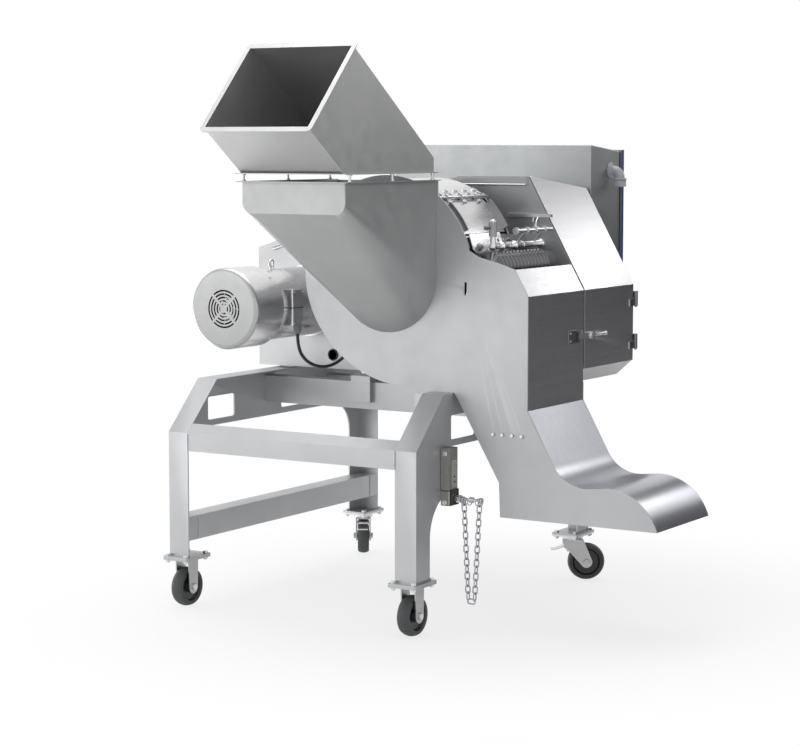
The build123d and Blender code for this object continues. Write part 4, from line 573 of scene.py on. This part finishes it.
# Knives and rinse pipe: hardened blades, ground bright, on their block and spindles. The flat faces of the
# close-set discs are painted darker, as painted shade between the discs. A polished pipe stands in front of
# them.
KNIFE_STEEL = grained_steel("ground_steel", (0.36, 0.365, 0.37), (1, 12, 1), 0.26, 1.0, 0.10)
DISC_FACE_SHADE = grained_steel("disc_face_painted_shade_steel", (0.13, 0.13, 0.135), (12, 1, 12), 0.3, 1.0, 0.12)
dressed("slice_knife", "machine", KNIFE_STEEL, bevel=0.0003)
discs = dressed("circular_knife_spindle", "circular_knives", KNIFE_STEEL)
# The discs' flat faces take a near-black steel: painted shade between the close-set discs.
refinished(discs, DISC_FACE_SHADE, lambda face: abs(face.normal.y) > 0.9)
dressed("crosscut_spindle", "crosscut_knives", KNIFE_STEEL)
dressed("rinse_pipe", "machine", PLATED)


# Cover plate of the slice knife: folded sheet over the front of the knife block, held by one large nut
# on its washer. Its two tapped holes for the puller are black discs just proud of the plate, as painted shade
# in the holes.
COVER_TURN, COVER_OUT, COVER_THICK = 19.5, 0.3153, 0.003
COVER_OUTLINE = ((0.008, -0.026), (0.196, -0.026), (0.196, 0.004), (0.150, 0.016), (0.075, 0.042),
                 (0.030, 0.042), (0.008, 0.024))
PULLER_HOLES, HOLE_RADIUS, HOLE_PROUD = ((0.158, -0.014), (0.172, 0.000)), 0.0055, 0.0006
NUT_SPOT = (0.047, 0.018)
NUT_STACK = ((0.0015, 0.013, 28), (0.009, 0.0095, 6), (0.013, 0.005, 16))      # height, radius, sides
cover_way = Vector((cos(radians(COVER_TURN)), 0, sin(radians(COVER_TURN))))
cover_down = Vector((sin(radians(COVER_TURN)), 0, -cos(radians(COVER_TURN))))


def rod(work, start, end, radius, sides=20):
    """Round bar between two points."""
    start, way = Vector(start), Vector(end) - Vector(start)
    across = way.orthogonal().normalized() * radius
    beside = way.normalized().cross(across)
    turns = [2 * pi * i / sides for i in range(sides)]
    prism(work, [start + across * cos(a) + beside * sin(a) for a in turns], way)


def on_cover(y, down, out=0.0):
    """Point on the slanted cover plate."""
    return Vector((0, y, AXIS_Z)) + cover_way * (COVER_OUT + out) + cover_down * down


work = bmesh.new()
prism(work, [on_cover(y, down) for y, down in COVER_OUTLINE], cover_way * COVER_THICK)
COVER_STEEL = grained_steel("cover_steel", (0.42, 0.42, 0.43), (1, 20, 1), 0.26, 1.0, 0.08)
made("knife_cover", work, COVER_STEEL, "machine")
# One near-black finish: painted shade for the puller holes and the keeper gap, and the real black of the
# knob's moulded collar.
BLACK_AND_HOLE_SHADE = moulded("black_and_painted_hole_shade", (0.018, 0.018, 0.02), 0.45)
work = bmesh.new()
for spot in PULLER_HOLES:
    rod(work, on_cover(*spot, COVER_THICK), on_cover(*spot, COVER_THICK + HOLE_PROUD), HOLE_RADIUS)
made("cover_tapped_holes", work, BLACK_AND_HOLE_SHADE, "machine", bevel=0)
work = bmesh.new()
for height, radius, sides in NUT_STACK:
    rod(work, on_cover(*NUT_SPOT, COVER_THICK), on_cover(*NUT_SPOT, COVER_THICK + height), radius, sides)
NUT_STEEL = grained_steel("nut_steel", (0.30, 0.30, 0.31), (1, 1, 1), 0.3, 1.0, 0.12)
made("cover_nut", work, NUT_STEEL, "machine")


# Tie bar and fittings of the rinse pipe: a second polished bar above the pipe, two hangers between them,
# split collars and a wing screw. The upright carries a knurled valve grip with a side lever, and hexagon
# nuts close the joints of the pipe.
PIPE_X, PIPE_Z, UPRIGHT_Y = 0.345, 1.180, 0.060
TIE_X, TIE_Z, TIE_RADIUS, TIE_FROM, TIE_TO = 0.382, 1.226, 0.007, 0.135, 0.3675
COLLARS, COLLAR_RADIUS = ((0.137, 0.145), (0.205, 0.211), (0.258, 0.272), (0.318, 0.326)), 0.0115
HANGERS, HANGER_HALF_THICK, HANGER_HALF_WIDE, HANGER_FOOT = (0.208, 0.322), 0.002, 0.005, PIPE_Z + 0.006
HANGER_OUTLINE = ((TIE_X - HANGER_HALF_THICK, TIE_Z), (PIPE_X - HANGER_HALF_THICK, HANGER_FOOT),
                  (PIPE_X + HANGER_HALF_THICK, HANGER_FOOT), (TIE_X + HANGER_HALF_THICK, TIE_Z))
WING_Y, WING_THICK, WING_STEM, WING_STEM_TALL = 0.265, 0.003, 0.0045, 0.024
WING_OUTLINE = ((0.0, 0.014), (0.020, 0.026), (0.014, 0.040), (0.0, 0.024))
GRIP_Z, GRIP_TALL, GRIP_RADIUS, GRIP_RIDGE, GRIP_SIDES = 1.212, 0.044, 0.0120, 0.0007, 48
LEVER_Z, LEVER_KNEE, LEVER_END = 1.238, (-0.006, -0.026), (-0.0075, -0.033)
LEVER_RADIUS, LEVER_KNOB = 0.0042, 0.0068
TRIGGER_FROM, TRIGGER_TO, TRIGGER_TIP, TRIGGER_RADIUS = 1.262, 1.284, (-0.004, -0.010), 0.003
PIPE_NUTS, PIPE_NUT_LONG, PIPE_NUT_RADIUS = (0.088, 0.148, 0.160, 0.236), 0.007, 0.0135
work = bmesh.new()
rod(work, (TIE_X, TIE_FROM, TIE_Z), (TIE_X, TIE_TO, TIE_Z), TIE_RADIUS)
for start, end in COLLARS:
    rod(work, (TIE_X, start, TIE_Z), (TIE_X, end, TIE_Z), COLLAR_RADIUS)
for y in HANGERS:
    prism(work, [(x, y - HANGER_HALF_WIDE, z) for x, z in HANGER_OUTLINE], (0, 2 * HANGER_HALF_WIDE, 0))
rod(work, (TIE_X, WING_Y, TIE_Z), (TIE_X, WING_Y, TIE_Z + WING_STEM_TALL), WING_STEM, 16)
for side in (-1, 1):
    prism(work, [(TIE_X - WING_THICK / 2, WING_Y + side * out, TIE_Z + up) for out, up in WING_OUTLINE],
          (WING_THICK, 0, 0))
made("tie_bar", work, PLATED, "machine")
KNURLED = grained_steel("knurled_steel", (0.34, 0.34, 0.35), (1, 1, 6), 0.3, 1.0, 0.3)


def by_pipe(out, z):
    """Point beside the upright of the rinse pipe."""
    return PIPE_X + out[0], UPRIGHT_Y + out[1], z


work = bmesh.new()
grip_ring = []
for i in range(GRIP_SIDES):
    turn, radius = 2 * pi * i / GRIP_SIDES, GRIP_RADIUS + GRIP_RIDGE * (i % 2)
    grip_ring.append(by_pipe((radius * cos(turn), radius * sin(turn)), GRIP_Z))
prism(work, grip_ring, (0, 0, GRIP_TALL))
rod(work, by_pipe((0, 0), LEVER_Z), by_pipe(LEVER_KNEE, LEVER_Z), LEVER_RADIUS, 16)
rod(work, by_pipe(LEVER_KNEE, LEVER_Z), by_pipe(LEVER_END, LEVER_Z), LEVER_KNOB, 16)
rod(work, by_pipe((0, 0), TRIGGER_FROM), by_pipe(TRIGGER_TIP, TRIGGER_TO), TRIGGER_RADIUS, 12)
made("valve_grip", work, KNURLED, "machine", bevel=0)
work = bmesh.new()
for y in PIPE_NUTS:
    rod(work, (PIPE_X, y, PIPE_Z), (PIPE_X, y + PIPE_NUT_LONG, PIPE_Z), PIPE_NUT_RADIUS, 6)
made("pipe_nuts", work, PLATED, "machine")


# Chute and hood: brushed stainless sheet; the chute is rolled in an S and open below at the outlet, and the
# hood is folded over the knives. The latch keeper on the hood is of darker steel.
CHUTE_STEEL = grained_steel("chute_brushed_steel", (0.54, 0.545, 0.585), (1, 1, 40), 0.3, 1.0, 0.10)
HOOD_STEEL = grained_steel("hood_brushed_steel", (0.50, 0.50, 0.51), (1, 40, 1), 0.32, 1.0, 0.10)
DARK_STEEL = grained_steel("dark_fitting_steel", (0.20, 0.20, 0.205), (1, 1, 1), 0.34, 0.95, 0.08)
KEEPER_FROM_X = 0.5012
dressed("chute_top_sheet", "machine", CHUTE_STEEL, bevel=0.0004)
hood = dressed("hood_face", "machine", HOOD_STEEL, bevel=0.0005)
refinished(hood, DARK_STEEL, lambda face: face.center.x > KEEPER_FROM_X)


# Drive housing: blasted sheet with a roof that falls to the rear, and a brushed door on the right. The door
# swings on two dark hinges and shuts with a turning latch.
HOUSING_STEEL = blasted_steel("housing_blasted_steel", (0.46, 0.465, 0.47))
KNUCKLE_FROM = (0.5025, 0.69)
dressed("drive_housing", "machine", HOUSING_STEEL, bevel=0.0006)
leaf = dressed("drive_door", "drive_door", HOOD_STEEL, bevel=0.0006)
refinished(leaf, DARK_STEEL, lambda face: face.center.x > KNUCKLE_FROM[0] and face.center.y > KNUCKLE_FROM[1])
dressed("door_latch", "door_latch", PLATED, bevel=0.0004)
dressed("door_hinges", "machine", DARK_STEEL, bevel=0.0003)
dressed("belt_tension_plate", "machine", HOUSING_STEEL, bevel=0.0005)


# Rolled hems of the housing: the lower edge of the drip lip and the top edge of the door are turned over
# a wire; a short guide rail stands on the front wall below the lip, behind the knives. Hems and rail take a
# much lighter steel than the housing, as a painted highlight along these edges.
# This lighter steel is a painted highlight on the hems and the rail.
HEM_HIGHLIGHT_STEEL = grained_steel("hem_painted_highlight_steel", (0.74, 0.74, 0.75), (30, 1, 1), 0.3, 0.95, 0.06)
LIP_Y, LIP_RUN = 0.3615, ((-0.690, 1.134), (0.045, 1.364), (0.292, 1.364))
RAIL_LOW, RAIL_HIGH = (0.226, 0.354, 1.262), (0.386, 0.3685, 1.272)
DOOR_HEM_FROM, DOOR_HEM_TO = (0.2995, 0.3735, 1.3895), (0.2995, 0.716, 1.3895 - 0.0428)
LIP_WIRE, DOOR_WIRE = 0.0028, 0.0026
work = bmesh.new()
(lip_low_x, lip_low_z), (lip_bend_x, lip_bend_z), (lip_end_x, lip_end_z) = LIP_RUN
rod(work, (lip_bend_x, LIP_Y, lip_bend_z), (lip_end_x, LIP_Y, lip_end_z), LIP_WIRE, 12)
rod(work, (lip_low_x, LIP_Y, lip_low_z), (lip_bend_x, LIP_Y, lip_bend_z), LIP_WIRE, 12)
block(work, RAIL_LOW, RAIL_HIGH)
made("lip_hem", work, HEM_HIGHLIGHT_STEEL, "machine", bevel=0)
work = bmesh.new()
rod(work, DOOR_HEM_FROM, DOOR_HEM_TO, DOOR_WIRE, 12)
made("door_hem", work, HEM_HIGHLIGHT_STEEL, "drive_door", bevel=0)


# Motor: satin stainless wash-down body with a dished cowl, a junction box and grey glands, bolted by its
# flange to the housing. The body is a little wider than its solid, and the lifting eye stands further back.
MOTOR_STEEL = blasted_steel("motor_satin_steel", (0.68, 0.675, 0.68), 0.24, 0.97)
COWL_STEEL = blasted_steel("cowl_satin_steel", (0.36, 0.362, 0.365), 0.36, 0.9)
COWL_FILLET_SHADE_STEEL = blasted_steel("cowl_fillet_painted_shade_steel", (0.44, 0.44, 0.445), 0.32, 0.95)
GREY_PLASTIC = moulded("grey_plastic", (0.24, 0.245, 0.26), 0.45)
MOTOR_AXIS = (-0.543, 0.966)
SOLID_RADIUS, BODY_RADIUS, BODY_END, RADIUS_SLACK = 0.105, 0.116, 0.36, 0.0004
EYE_FROM, EYE_TO, EYE_BACK = 0.045, 0.075, 0.085
SIDE_FACING, FRONT_FACING = 0.2, 0.97


def off_axis(spot):
    """Vector from the motor axis to a point, seen from the front."""
    return Vector((spot.x - MOTOR_AXIS[0], spot.z - MOTOR_AXIS[1]))


for node, finish in (("motor_body", MOTOR_STEEL), ("motor_cowl", COWL_STEEL), ("junction_box", MOTOR_STEEL)):
    dressed(node, "machine", finish, bevel=0.0005)
for vert in bpy.data.objects["motor_body_finished"].data.vertices:
    out = off_axis(vert.co)
    is_eye = EYE_FROM < vert.co.y < EYE_TO and out.length > SOLID_RADIUS - RADIUS_SLACK
    on_body = abs(out.length - SOLID_RADIUS) < RADIUS_SLACK and vert.co.y < BODY_END
    if is_eye and out.length >= SOLID_RADIUS + RADIUS_SLACK:
        moved = out + Vector((0, BODY_RADIUS - SOLID_RADIUS))
    elif is_eye or on_body:
        moved = out.normalized() * (out.length + BODY_RADIUS - SOLID_RADIUS)
    else:
        continue
    vert.co.x, vert.co.z = MOTOR_AXIS[0] + moved.x, MOTOR_AXIS[1] + moved.y
    if is_eye:
        vert.co.y += EYE_BACK
cowl = bpy.data.objects["motor_cowl_finished"]
# The cowl is graded by which way its faces point, as painted light and shade: its sides take the body's bright
# steel, its rim fillet a middle grey and its flat face the darker grey.
for finish, facing_from, facing_to in ((MOTOR_STEEL, 0.0, SIDE_FACING),
                                       (COWL_FILLET_SHADE_STEEL, SIDE_FACING, FRONT_FACING)):
    refinished(cowl, finish, lambda face: facing_from <= abs(face.normal.y) < facing_to
               and off_axis(face.center).length > BODY_RADIUS)
dressed("cable_glands", "machine", GREY_PLASTIC, bevel=0.0004)
dressed("motor_rotor", "motor_rotor", CASE_STEEL)


# Motor fasteners: small plated screws, four hexagon ones through the rim of the cowl and four button ones
# at the corners of the junction box cover.
SHANK_SHARE, CROWN_SHARE, CROWN_TAPER = 0.7, 0.3, 0.78
COWL_RADIUS, COWL_SCREW_Y, COWL_TURNS, COVER_EDGE = 0.131, 0.012, (48, 132, 228, 312), 0.008
SCREW_TOOL, given, result = node_tool("screw_heads", {"Radius": 0.004, "Height": 0.003, "Sides": 6})
shank = fitted(SCREW_TOOL, "GeometryNodeMeshCone")
crown = fitted(SCREW_TOOL, "GeometryNodeMeshCone")
lift = fitted(SCREW_TOOL, "GeometryNodeTransform")
lift_by = fitted(SCREW_TOOL, "ShaderNodeCombineXYZ")
whole_head = fitted(SCREW_TOOL, "GeometryNodeJoinGeometry")
head_way = fitted(SCREW_TOOL, "GeometryNodeInputNamedAttribute", {"Name": "way"}, data_type="FLOAT_VECTOR")
head_turn = fitted(SCREW_TOOL, "FunctionNodeAlignRotationToVector", axis="Z")
on_spots = fitted(SCREW_TOOL, "GeometryNodeInstanceOnPoints")
shank_height = worked(SCREW_TOOL, "MULTIPLY", given["Height"], SHANK_SHARE)
crown_height = worked(SCREW_TOOL, "MULTIPLY", given["Height"], CROWN_SHARE)
crown_radius = worked(SCREW_TOOL, "MULTIPLY", given["Radius"], CROWN_TAPER)
for cone, height, top in ((shank, shank_height, given["Radius"]), (crown, crown_height, crown_radius)):
    joined(SCREW_TOOL, (given["Sides"], cone.inputs["Vertices"]),
           (given["Radius"], cone.inputs["Radius Bottom"]), (top, cone.inputs["Radius Top"]),
           (height, cone.inputs["Depth"]))
joined(SCREW_TOOL, (shank_height, lift_by.inputs["Z"]), (crown.outputs["Mesh"], lift.inputs["Geometry"]),
       (lift_by.outputs[0], lift.inputs["Translation"]), (shank.outputs["Mesh"], whole_head.inputs[0]),
       (lift.outputs[0], whole_head.inputs[0]), (given["Geometry"], on_spots.inputs["Points"]),
       (whole_head.outputs[0], on_spots.inputs["Instance"]),
       (head_way.outputs["Attribute"], head_turn.inputs["Vector"]),
       (head_turn.outputs[0], on_spots.inputs["Rotation"]))
finish_tool(SCREW_TOOL, given, result, on_spots.outputs[0])


def screws(name, spots, radius, height, sides, body="machine"):
    """Screw heads at (point, outward direction) pairs."""
    mesh = guide(name, [p for p, way in spots], way=[way for p, way in spots])
    values = {"Radius": radius, "Height": height, "Sides": sides}
    return grown(name, mesh, SCREW_TOOL, values, PLATED, body)


cowl_spots = []
for turn in COWL_TURNS:
    way = Vector((cos(radians(turn)), 0, sin(radians(turn))))
    cowl_spots.append((Vector((MOTOR_AXIS[0], COWL_SCREW_Y, MOTOR_AXIS[1])) + way * COWL_RADIUS, way))
screws("motor_cowl_screws", cowl_spots, 0.0045, 0.003, 6)
cover_low, cover_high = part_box("junction_box")
cover_spots = [((cover_high.x, y, z), (1, 0, 0))
               for y in (cover_low.y + COVER_EDGE, cover_high.y - COVER_EDGE)
               for z in (cover_low.z + COVER_EDGE, cover_high.z - COVER_EDGE)]
screws("junction_cover_screws", cover_spots, 0.003, 0.002, 12)


# Latch keeper: a thin black block in the gap between the keeper plate and its raised end, which the handle
# drops into, as painted shade in the gap, and the two button screws that hold the plate to the hood.
FACE_X, LATCH_Z, GAP_HALF_TALL = 0.501, 0.893, 0.013
GAP_Y, GAP_OUT = (0.306, 0.3175), (0.002, 0.0044)
KEEPER_THICK, KEEPER_SCREW_Y, KEEPER_SCREW_UP = 0.003, 0.272, 0.012
work = bmesh.new()
# The block is black as painted shade in the gap.
block(work, (FACE_X + GAP_OUT[0], GAP_Y[0], LATCH_Z - GAP_HALF_TALL),
      (FACE_X + GAP_OUT[1], GAP_Y[1], LATCH_Z + GAP_HALF_TALL))
made("keeper_gap_shade", work, BLACK_AND_HOLE_SHADE, "machine", bevel=0)
keeper_spots = [((FACE_X + KEEPER_THICK, KEEPER_SCREW_Y, LATCH_Z + side * KEEPER_SCREW_UP), (1, 0, 0))
                for side in (-1, 1)]
screws("keeper_screws", keeper_spots, 0.0035, 0.002, 12)


# Stud heads: domed plated caps on the four weld studs, which stand through the side plate in a row
# above the chute.
STUD_X, STUD_Y, STUD_Z = (0.383, 0.415, 0.449, 0.482), -0.0028, 0.612
screws("plate_stud_caps", [((x, STUD_Y, STUD_Z), (0, -1, 0)) for x in STUD_X], 0.0058, 0.0045, 16)


# Seals: black rubber, a flat one pressed under the cover of the junction box, and a round grommet in the
# cable hole beside the case.
SEAL_LOW, SEAL_HIGH = (-0.4676, 0.0596, 0.9618), (-0.3975, 0.1224, 0.9646)
GROMMET_PLACE, GROMMET_RADIUS, GROMMET_WIRE = (-0.448, 0.3672, 0.784), 0.0178, 0.0026


def hoop(work, middle, way, radius, wire, steps=28, sides=8):
    """Round ring bent from wire, standing square to a direction."""
    middle, way = Vector(middle), Vector(way).normalized()
    across = way.orthogonal().normalized()
    beside = way.cross(across)
    turns = [2 * pi * k / sides for k in range(sides)]
    rings = []
    for i in range(steps):
        out = across * cos(2 * pi * i / steps) + beside * sin(2 * pi * i / steps)
        ring = [middle + out * (radius + wire * cos(a)) + way * wire * sin(a) for a in turns]
        rings.append([work.verts.new(spot) for spot in ring])
    for i in range(steps):
        for k in range(sides):
            work.faces.new((rings[i - 1][k - 1], rings[i - 1][k], rings[i][k], rings[i][k - 1]))


work = bmesh.new()
block(work, SEAL_LOW, SEAL_HIGH)
hoop(work, GROMMET_PLACE, (0, 1, 0), GROMMET_RADIUS, GROMMET_WIRE)
GASKET = moulded("gasket_black", (0.03, 0.03, 0.03), 0.6)
made("junction_gasket", work, GASKET, "machine", bevel=0)


# Motor cable: black sheathed lead, 11 mm thick. It hangs in one loop from the gland of the junction box to
# the gland in the front wall of the housing.
CABLE_THICK = 0.011
CABLE_POINTS = [
    (-0.411, 0.104, 0.877), (-0.411, 0.104, 0.826), (-0.3987, 0.1442, 0.777), (-0.3793, 0.2072, 0.757),
    (-0.3605, 0.2684, 0.771), (-0.344, 0.318, 0.812), (-0.344, 0.368, 0.812),
]
SHEATH = moulded("cable_sheath", (0.02, 0.02, 0.022), 0.42)
line = bpy.data.curves.new("motor_cable_line", "CURVE")
line.dimensions = "3D"
spline = line.splines.new("NURBS")
spline.points.add(len(CABLE_POINTS) - 1)
for spot, place in zip(spline.points, CABLE_POINTS):
    spot.co = (*place, 1.0)
spline.order_u = 3
spline.use_endpoint_u = True
spline.resolution_u = 16
line.bevel_depth = CABLE_THICK / 2
line.bevel_resolution = 6
line.use_fill_caps = True
line.materials.append(SHEATH)
cable = bpy.data.objects.new("motor_cable_lead", line)
scene.collection.objects.link(cable)
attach(cable, "machine")
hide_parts("motor_cable")


# Electrical enclosure: blasted sheet box with a sloping top on stand-offs. Its gasketed door at the back has
# a painted blue reflection on the right edge, and the supply comes in through a grey plastic elbow with two
# rims.
BOX_STEEL = blasted_steel("enclosure_blasted_steel", (0.37, 0.38, 0.385))
RUBBER = moulded("black_rubber", (0.022, 0.022, 0.022), 0.6)
EDGE_BLUE_REFLECTION = moulded("blue_edge_painted_reflection", (0.055, 0.085, 0.20), 0.35)
ELBOW_PLASTIC = moulded("light_grey_plastic", (0.47, 0.475, 0.50), 0.32)
PANEL_PAINT = moulded("panel_paint", (0.62, 0.62, 0.58), 0.4)
ELBOW_RIMS = (((0.366, 0.882, 1.3755), (0, 0, 1), 0.0205, 0.0027),       # middle, direction, radius, wire
              ((0.3325, 0.882, 1.4095), (1, 0, 0), 0.0185, 0.0032))
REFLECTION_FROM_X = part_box("enclosure_door")[1].x - 0.002
dressed("enclosure", "machine", BOX_STEEL, bevel=0.0006, fold=0.003)
cover = dressed("enclosure_door", "enclosure_door", BOX_STEEL, bevel=0.0006)
# The right edge of the door is blue as a painted reflection.
refinished(cover, EDGE_BLUE_REFLECTION, lambda face: face.normal.x > 0.9 and face.center.x > REFLECTION_FROM_X)
dressed("enclosure_lock", "enclosure_lock", PLATED, bevel=0.0004)
dressed("door_seal", "enclosure_door", RUBBER)
dressed("supply_elbow", "machine", ELBOW_PLASTIC)
work = bmesh.new()
for middle, way, radius, wire in ELBOW_RIMS:
    hoop(work, middle, way, radius, wire)
made("elbow_rims", work, ELBOW_PLASTIC, "machine", bevel=0)
dressed("control_panel", "machine", PANEL_PAINT, bevel=0.0006)


# Interlock: a stainless switch box screwed to the right front leg, with a turned knob on a rod that
# carries the hanging chain.
BROWN_STEEL = grained_steel("switch_cover_steel", (0.33, 0.325, 0.31), (1, 1, 20), 0.3, 0.95, 0.14)
dressed("interlock_box", "machine", BROWN_STEEL, bevel=0.0008)
dressed("interlock_knob", "interlock_knob", PLATED, bevel=0.0003)


# Switch cover: a screwed stainless cover on the front of the switch box with a folded right edge,
# a bare plate on its side, and a black moulded collar round the knob. Loose key rings hang on the rod.
BOX_RIGHT_X, BOX_FRONT_Y = 0.275, -0.077
COVER_PARTS = (  # spans in x, off the front of the box, and in z: the plate and its folded edge
    ((0.244, 0.2735), (-0.0015, 0.001), (0.4395, 0.566)),
    ((0.2715, 0.2755), (-0.0035, 0.004), (0.4395, 0.566)),
)
COLLAR_FOOT = ((0.244, 0.2735), (-0.0012, 0.001), (0.4362, 0.4387))
COLLAR_PARTS = (  # spans off the right side of the box, in y and in z: four bars round the knob, two plugs
    ((-0.001, 0.004), (-0.0755, -0.0275), (0.4265, 0.441)),
    ((-0.001, 0.004), (-0.0755, -0.0275), (0.3925, 0.3985)),
    ((-0.001, 0.004), (-0.0755, -0.0625), (0.398, 0.427)),
    ((-0.001, 0.004), (-0.0335, -0.0275), (0.398, 0.427)),
    ((0.001, 0.0026), (-0.055, -0.047), (0.462, 0.467)),
    ((0.001, 0.0026), (-0.055, -0.047), (0.478, 0.483)),
)
PLATE_PART = ((-0.001, 0.0015), (-0.066, -0.036), (0.446, 0.532))
COVER_SCREW_X, COVER_SCREW_SEAT, COVER_SCREW_Z = 0.259, 0.0014, (0.552, 0.402)
KNOB_Y, KNOB_Z = -0.048, 0.412
RINGS = (  # place along the rod, drop, radius, lean
    (0.3035, 0.0065, 0.0110, 0.25), (0.3160, 0.0050, 0.0095, -0.2), (0.3290, 0.0060, 0.0105, -0.2),
    (0.3560, 0.0050, 0.0095, -0.2), (0.3705, 0.0062, 0.0108, 0.25),
)
RING_WIRE = 0.0014
BARE_PLATE = moulded("bare_plate", (0.44, 0.43, 0.38), 0.4)
KEY_STEEL = grained_steel("key_ring_steel", (0.46, 0.46, 0.49), (1, 1, 1), 0.2, 1.0, 0.12)


def on_front(work, x, out, z):
    """Box on the front of the switch box."""
    block(work, (x[0], BOX_FRONT_Y + out[0], z[0]), (x[1], BOX_FRONT_Y + out[1], z[1]))


def on_side(work, out, y, z):
    """Box on the right side of the switch box."""
    block(work, (BOX_RIGHT_X + out[0], y[0], z[0]), (BOX_RIGHT_X + out[1], y[1], z[1]))


work = bmesh.new()
for part in COVER_PARTS:
    on_front(work, *part)
made("switch_cover", work, BROWN_STEEL, "machine")
work = bmesh.new()
on_front(work, *COLLAR_FOOT)
for part in COLLAR_PARTS:
    on_side(work, *part)
made("switch_collar", work, BLACK_AND_HOLE_SHADE, "machine")
work = bmesh.new()
on_side(work, *PLATE_PART)
made("switch_bare_plate", work, BARE_PLATE, "machine")
cover_spots = [((COVER_SCREW_X, BOX_FRONT_Y - COVER_SCREW_SEAT, z), (0, -1, 0)) for z in COVER_SCREW_Z]
screws("switch_cover_screws", cover_spots, 0.0075, 0.0025, 14)
work = bmesh.new()
for x, drop, radius, lean in RINGS:
    hoop(work, (x, KNOB_Y, KNOB_Z - drop), (1.0, lean, 0.0), radius, RING_WIRE, 24, 8)
made("key_rings", work, KEY_STEEL, "machine", bevel=0)


# Interlock chain: welded stainless links in two strands that hang from the knob's rod and share a bottom
# link. Each link stands square to its neighbours.
LINK_LONG, LINK_WIDE, LINK_WIRE, LINK_SLACK = 0.030, 0.0194, 0.0044, 0.0003
LINK_STEP = LINK_LONG - 2 * LINK_WIRE - LINK_SLACK
STRAND_LINKS, STRAND_X, ROD_RADIUS = 15, (0.309, 0.364), 0.004
LOOP_HALF = LINK_LONG / 2 - LINK_WIRE / 2 - 0.001
CORNER_SHARE, CORNER_STEPS, WIRE_SIDES = 0.36, 6, 10
LINK_TOOL, given, result = node_tool("chain_links", {"Long": LINK_LONG, "Wide": LINK_WIDE, "Wire": LINK_WIRE})
loop = fitted(LINK_TOOL, "GeometryNodeCurvePrimitiveQuadrilateral")
corners = fitted(LINK_TOOL, "GeometryNodeFilletCurve", {"Count": CORNER_STEPS}, mode="POLY")
wire_ring = fitted(LINK_TOOL, "GeometryNodeCurvePrimitiveCircle", {"Resolution": WIRE_SIDES})
bent = fitted(LINK_TOOL, "GeometryNodeCurveToMesh")
on_links = fitted(LINK_TOOL, "GeometryNodeInstanceOnPoints")
joined(LINK_TOOL, (worked(LINK_TOOL, "SUBTRACT", given["Wide"], given["Wire"]), loop.inputs["Width"]),
       (worked(LINK_TOOL, "SUBTRACT", given["Long"], given["Wire"]), loop.inputs["Height"]),
       (worked(LINK_TOOL, "MULTIPLY", given["Wide"], CORNER_SHARE), corners.inputs["Radius"]),
       (worked(LINK_TOOL, "MULTIPLY", given["Wire"], 0.5), wire_ring.inputs["Radius"]),
       (loop.outputs[0], corners.inputs["Curve"]), (corners.outputs[0], bent.inputs["Curve"]),
       (wire_ring.outputs["Curve"], bent.inputs["Profile Curve"]),
       (given["Geometry"], on_links.inputs["Points"]), (bent.outputs[0], on_links.inputs["Instance"]))
turned = None
for label, axis, pivot in (("way", "Y", "AUTO"), ("face", "X", "Y")):
    stored = fitted(LINK_TOOL, "GeometryNodeInputNamedAttribute", {"Name": label}, data_type="FLOAT_VECTOR")
    turn_to = fitted(LINK_TOOL, "FunctionNodeAlignRotationToVector", axis=axis, pivot_axis=pivot)
    joined(LINK_TOOL, (stored.outputs["Attribute"], turn_to.inputs["Vector"]))
    if turned:
        joined(LINK_TOOL, (turned, turn_to.inputs["Rotation"]))
    turned = turn_to.outputs[0]
joined(LINK_TOOL, (turned, on_links.inputs["Rotation"]))
finish_tool(LINK_TOOL, given, result, on_links.outputs[0])

CHAIN_STEEL = grained_steel("chain_steel", (0.42, 0.42, 0.45), (1, 1, 1), 0.22, 1.0, 0.12)
first_z = KNOB_Z + ROD_RADIUS + LINK_SLACK - (LINK_LONG / 2 - LINK_WIRE)
chain_middle = sum(STRAND_X) / 2
spots, ways, faces = [], [], []
for side, x in zip((-1, 1), STRAND_X):
    lean = atan2(chain_middle + side * LOOP_HALF - x, LINK_STEP * (STRAND_LINKS - 1))
    way = Vector((sin(lean), 0, -cos(lean)))
    for i in range(STRAND_LINKS):
        spots.append(Vector((x, KNOB_Y, first_z)) + way * LINK_STEP * i)
        ways.append(way)
        faces.append((0, 1, 0) if i % 2 == 0 else (cos(lean), 0, sin(lean)))
bottom_z = spots[-1].z - LINK_LONG / 2 + 2 * LINK_WIRE - LINK_WIDE / 2 - LINK_SLACK
spots.append((chain_middle, KNOB_Y, bottom_z))
ways.append((1, 0, 0))
faces.append((0, 0, 1))
chain_sizes = {"Long": LINK_LONG, "Wide": LINK_WIDE, "Wire": LINK_WIRE}
chain = grown("hanging_chain", guide("hanging_chain", spots, way=ways, face=faces), LINK_TOOL, chain_sizes,
              CHAIN_STEEL, "machine")
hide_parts("interlock_chain")


# Impeller and drive train: welded, cast and turned parts on their shafts, with two rubber belts. They show
# through the feed hole and the open doors.
CAST = moulded("cast_grey", (0.22, 0.22, 0.23), 0.5, 0.002, 0.0001)
dressed("impeller", "impeller", CASE_STEEL)
dressed("main_shaft", "impeller", CASE_STEEL)
dressed("main_pulleys", "impeller", CAST)
dressed("motor_pulley", "motor_rotor", CAST)
dressed("bearings", "machine", CAST)
dressed("spindle_pulley_and_gear", "circular_knives", CASE_STEEL)
dressed("drive_belts", "machine", RUBBER)
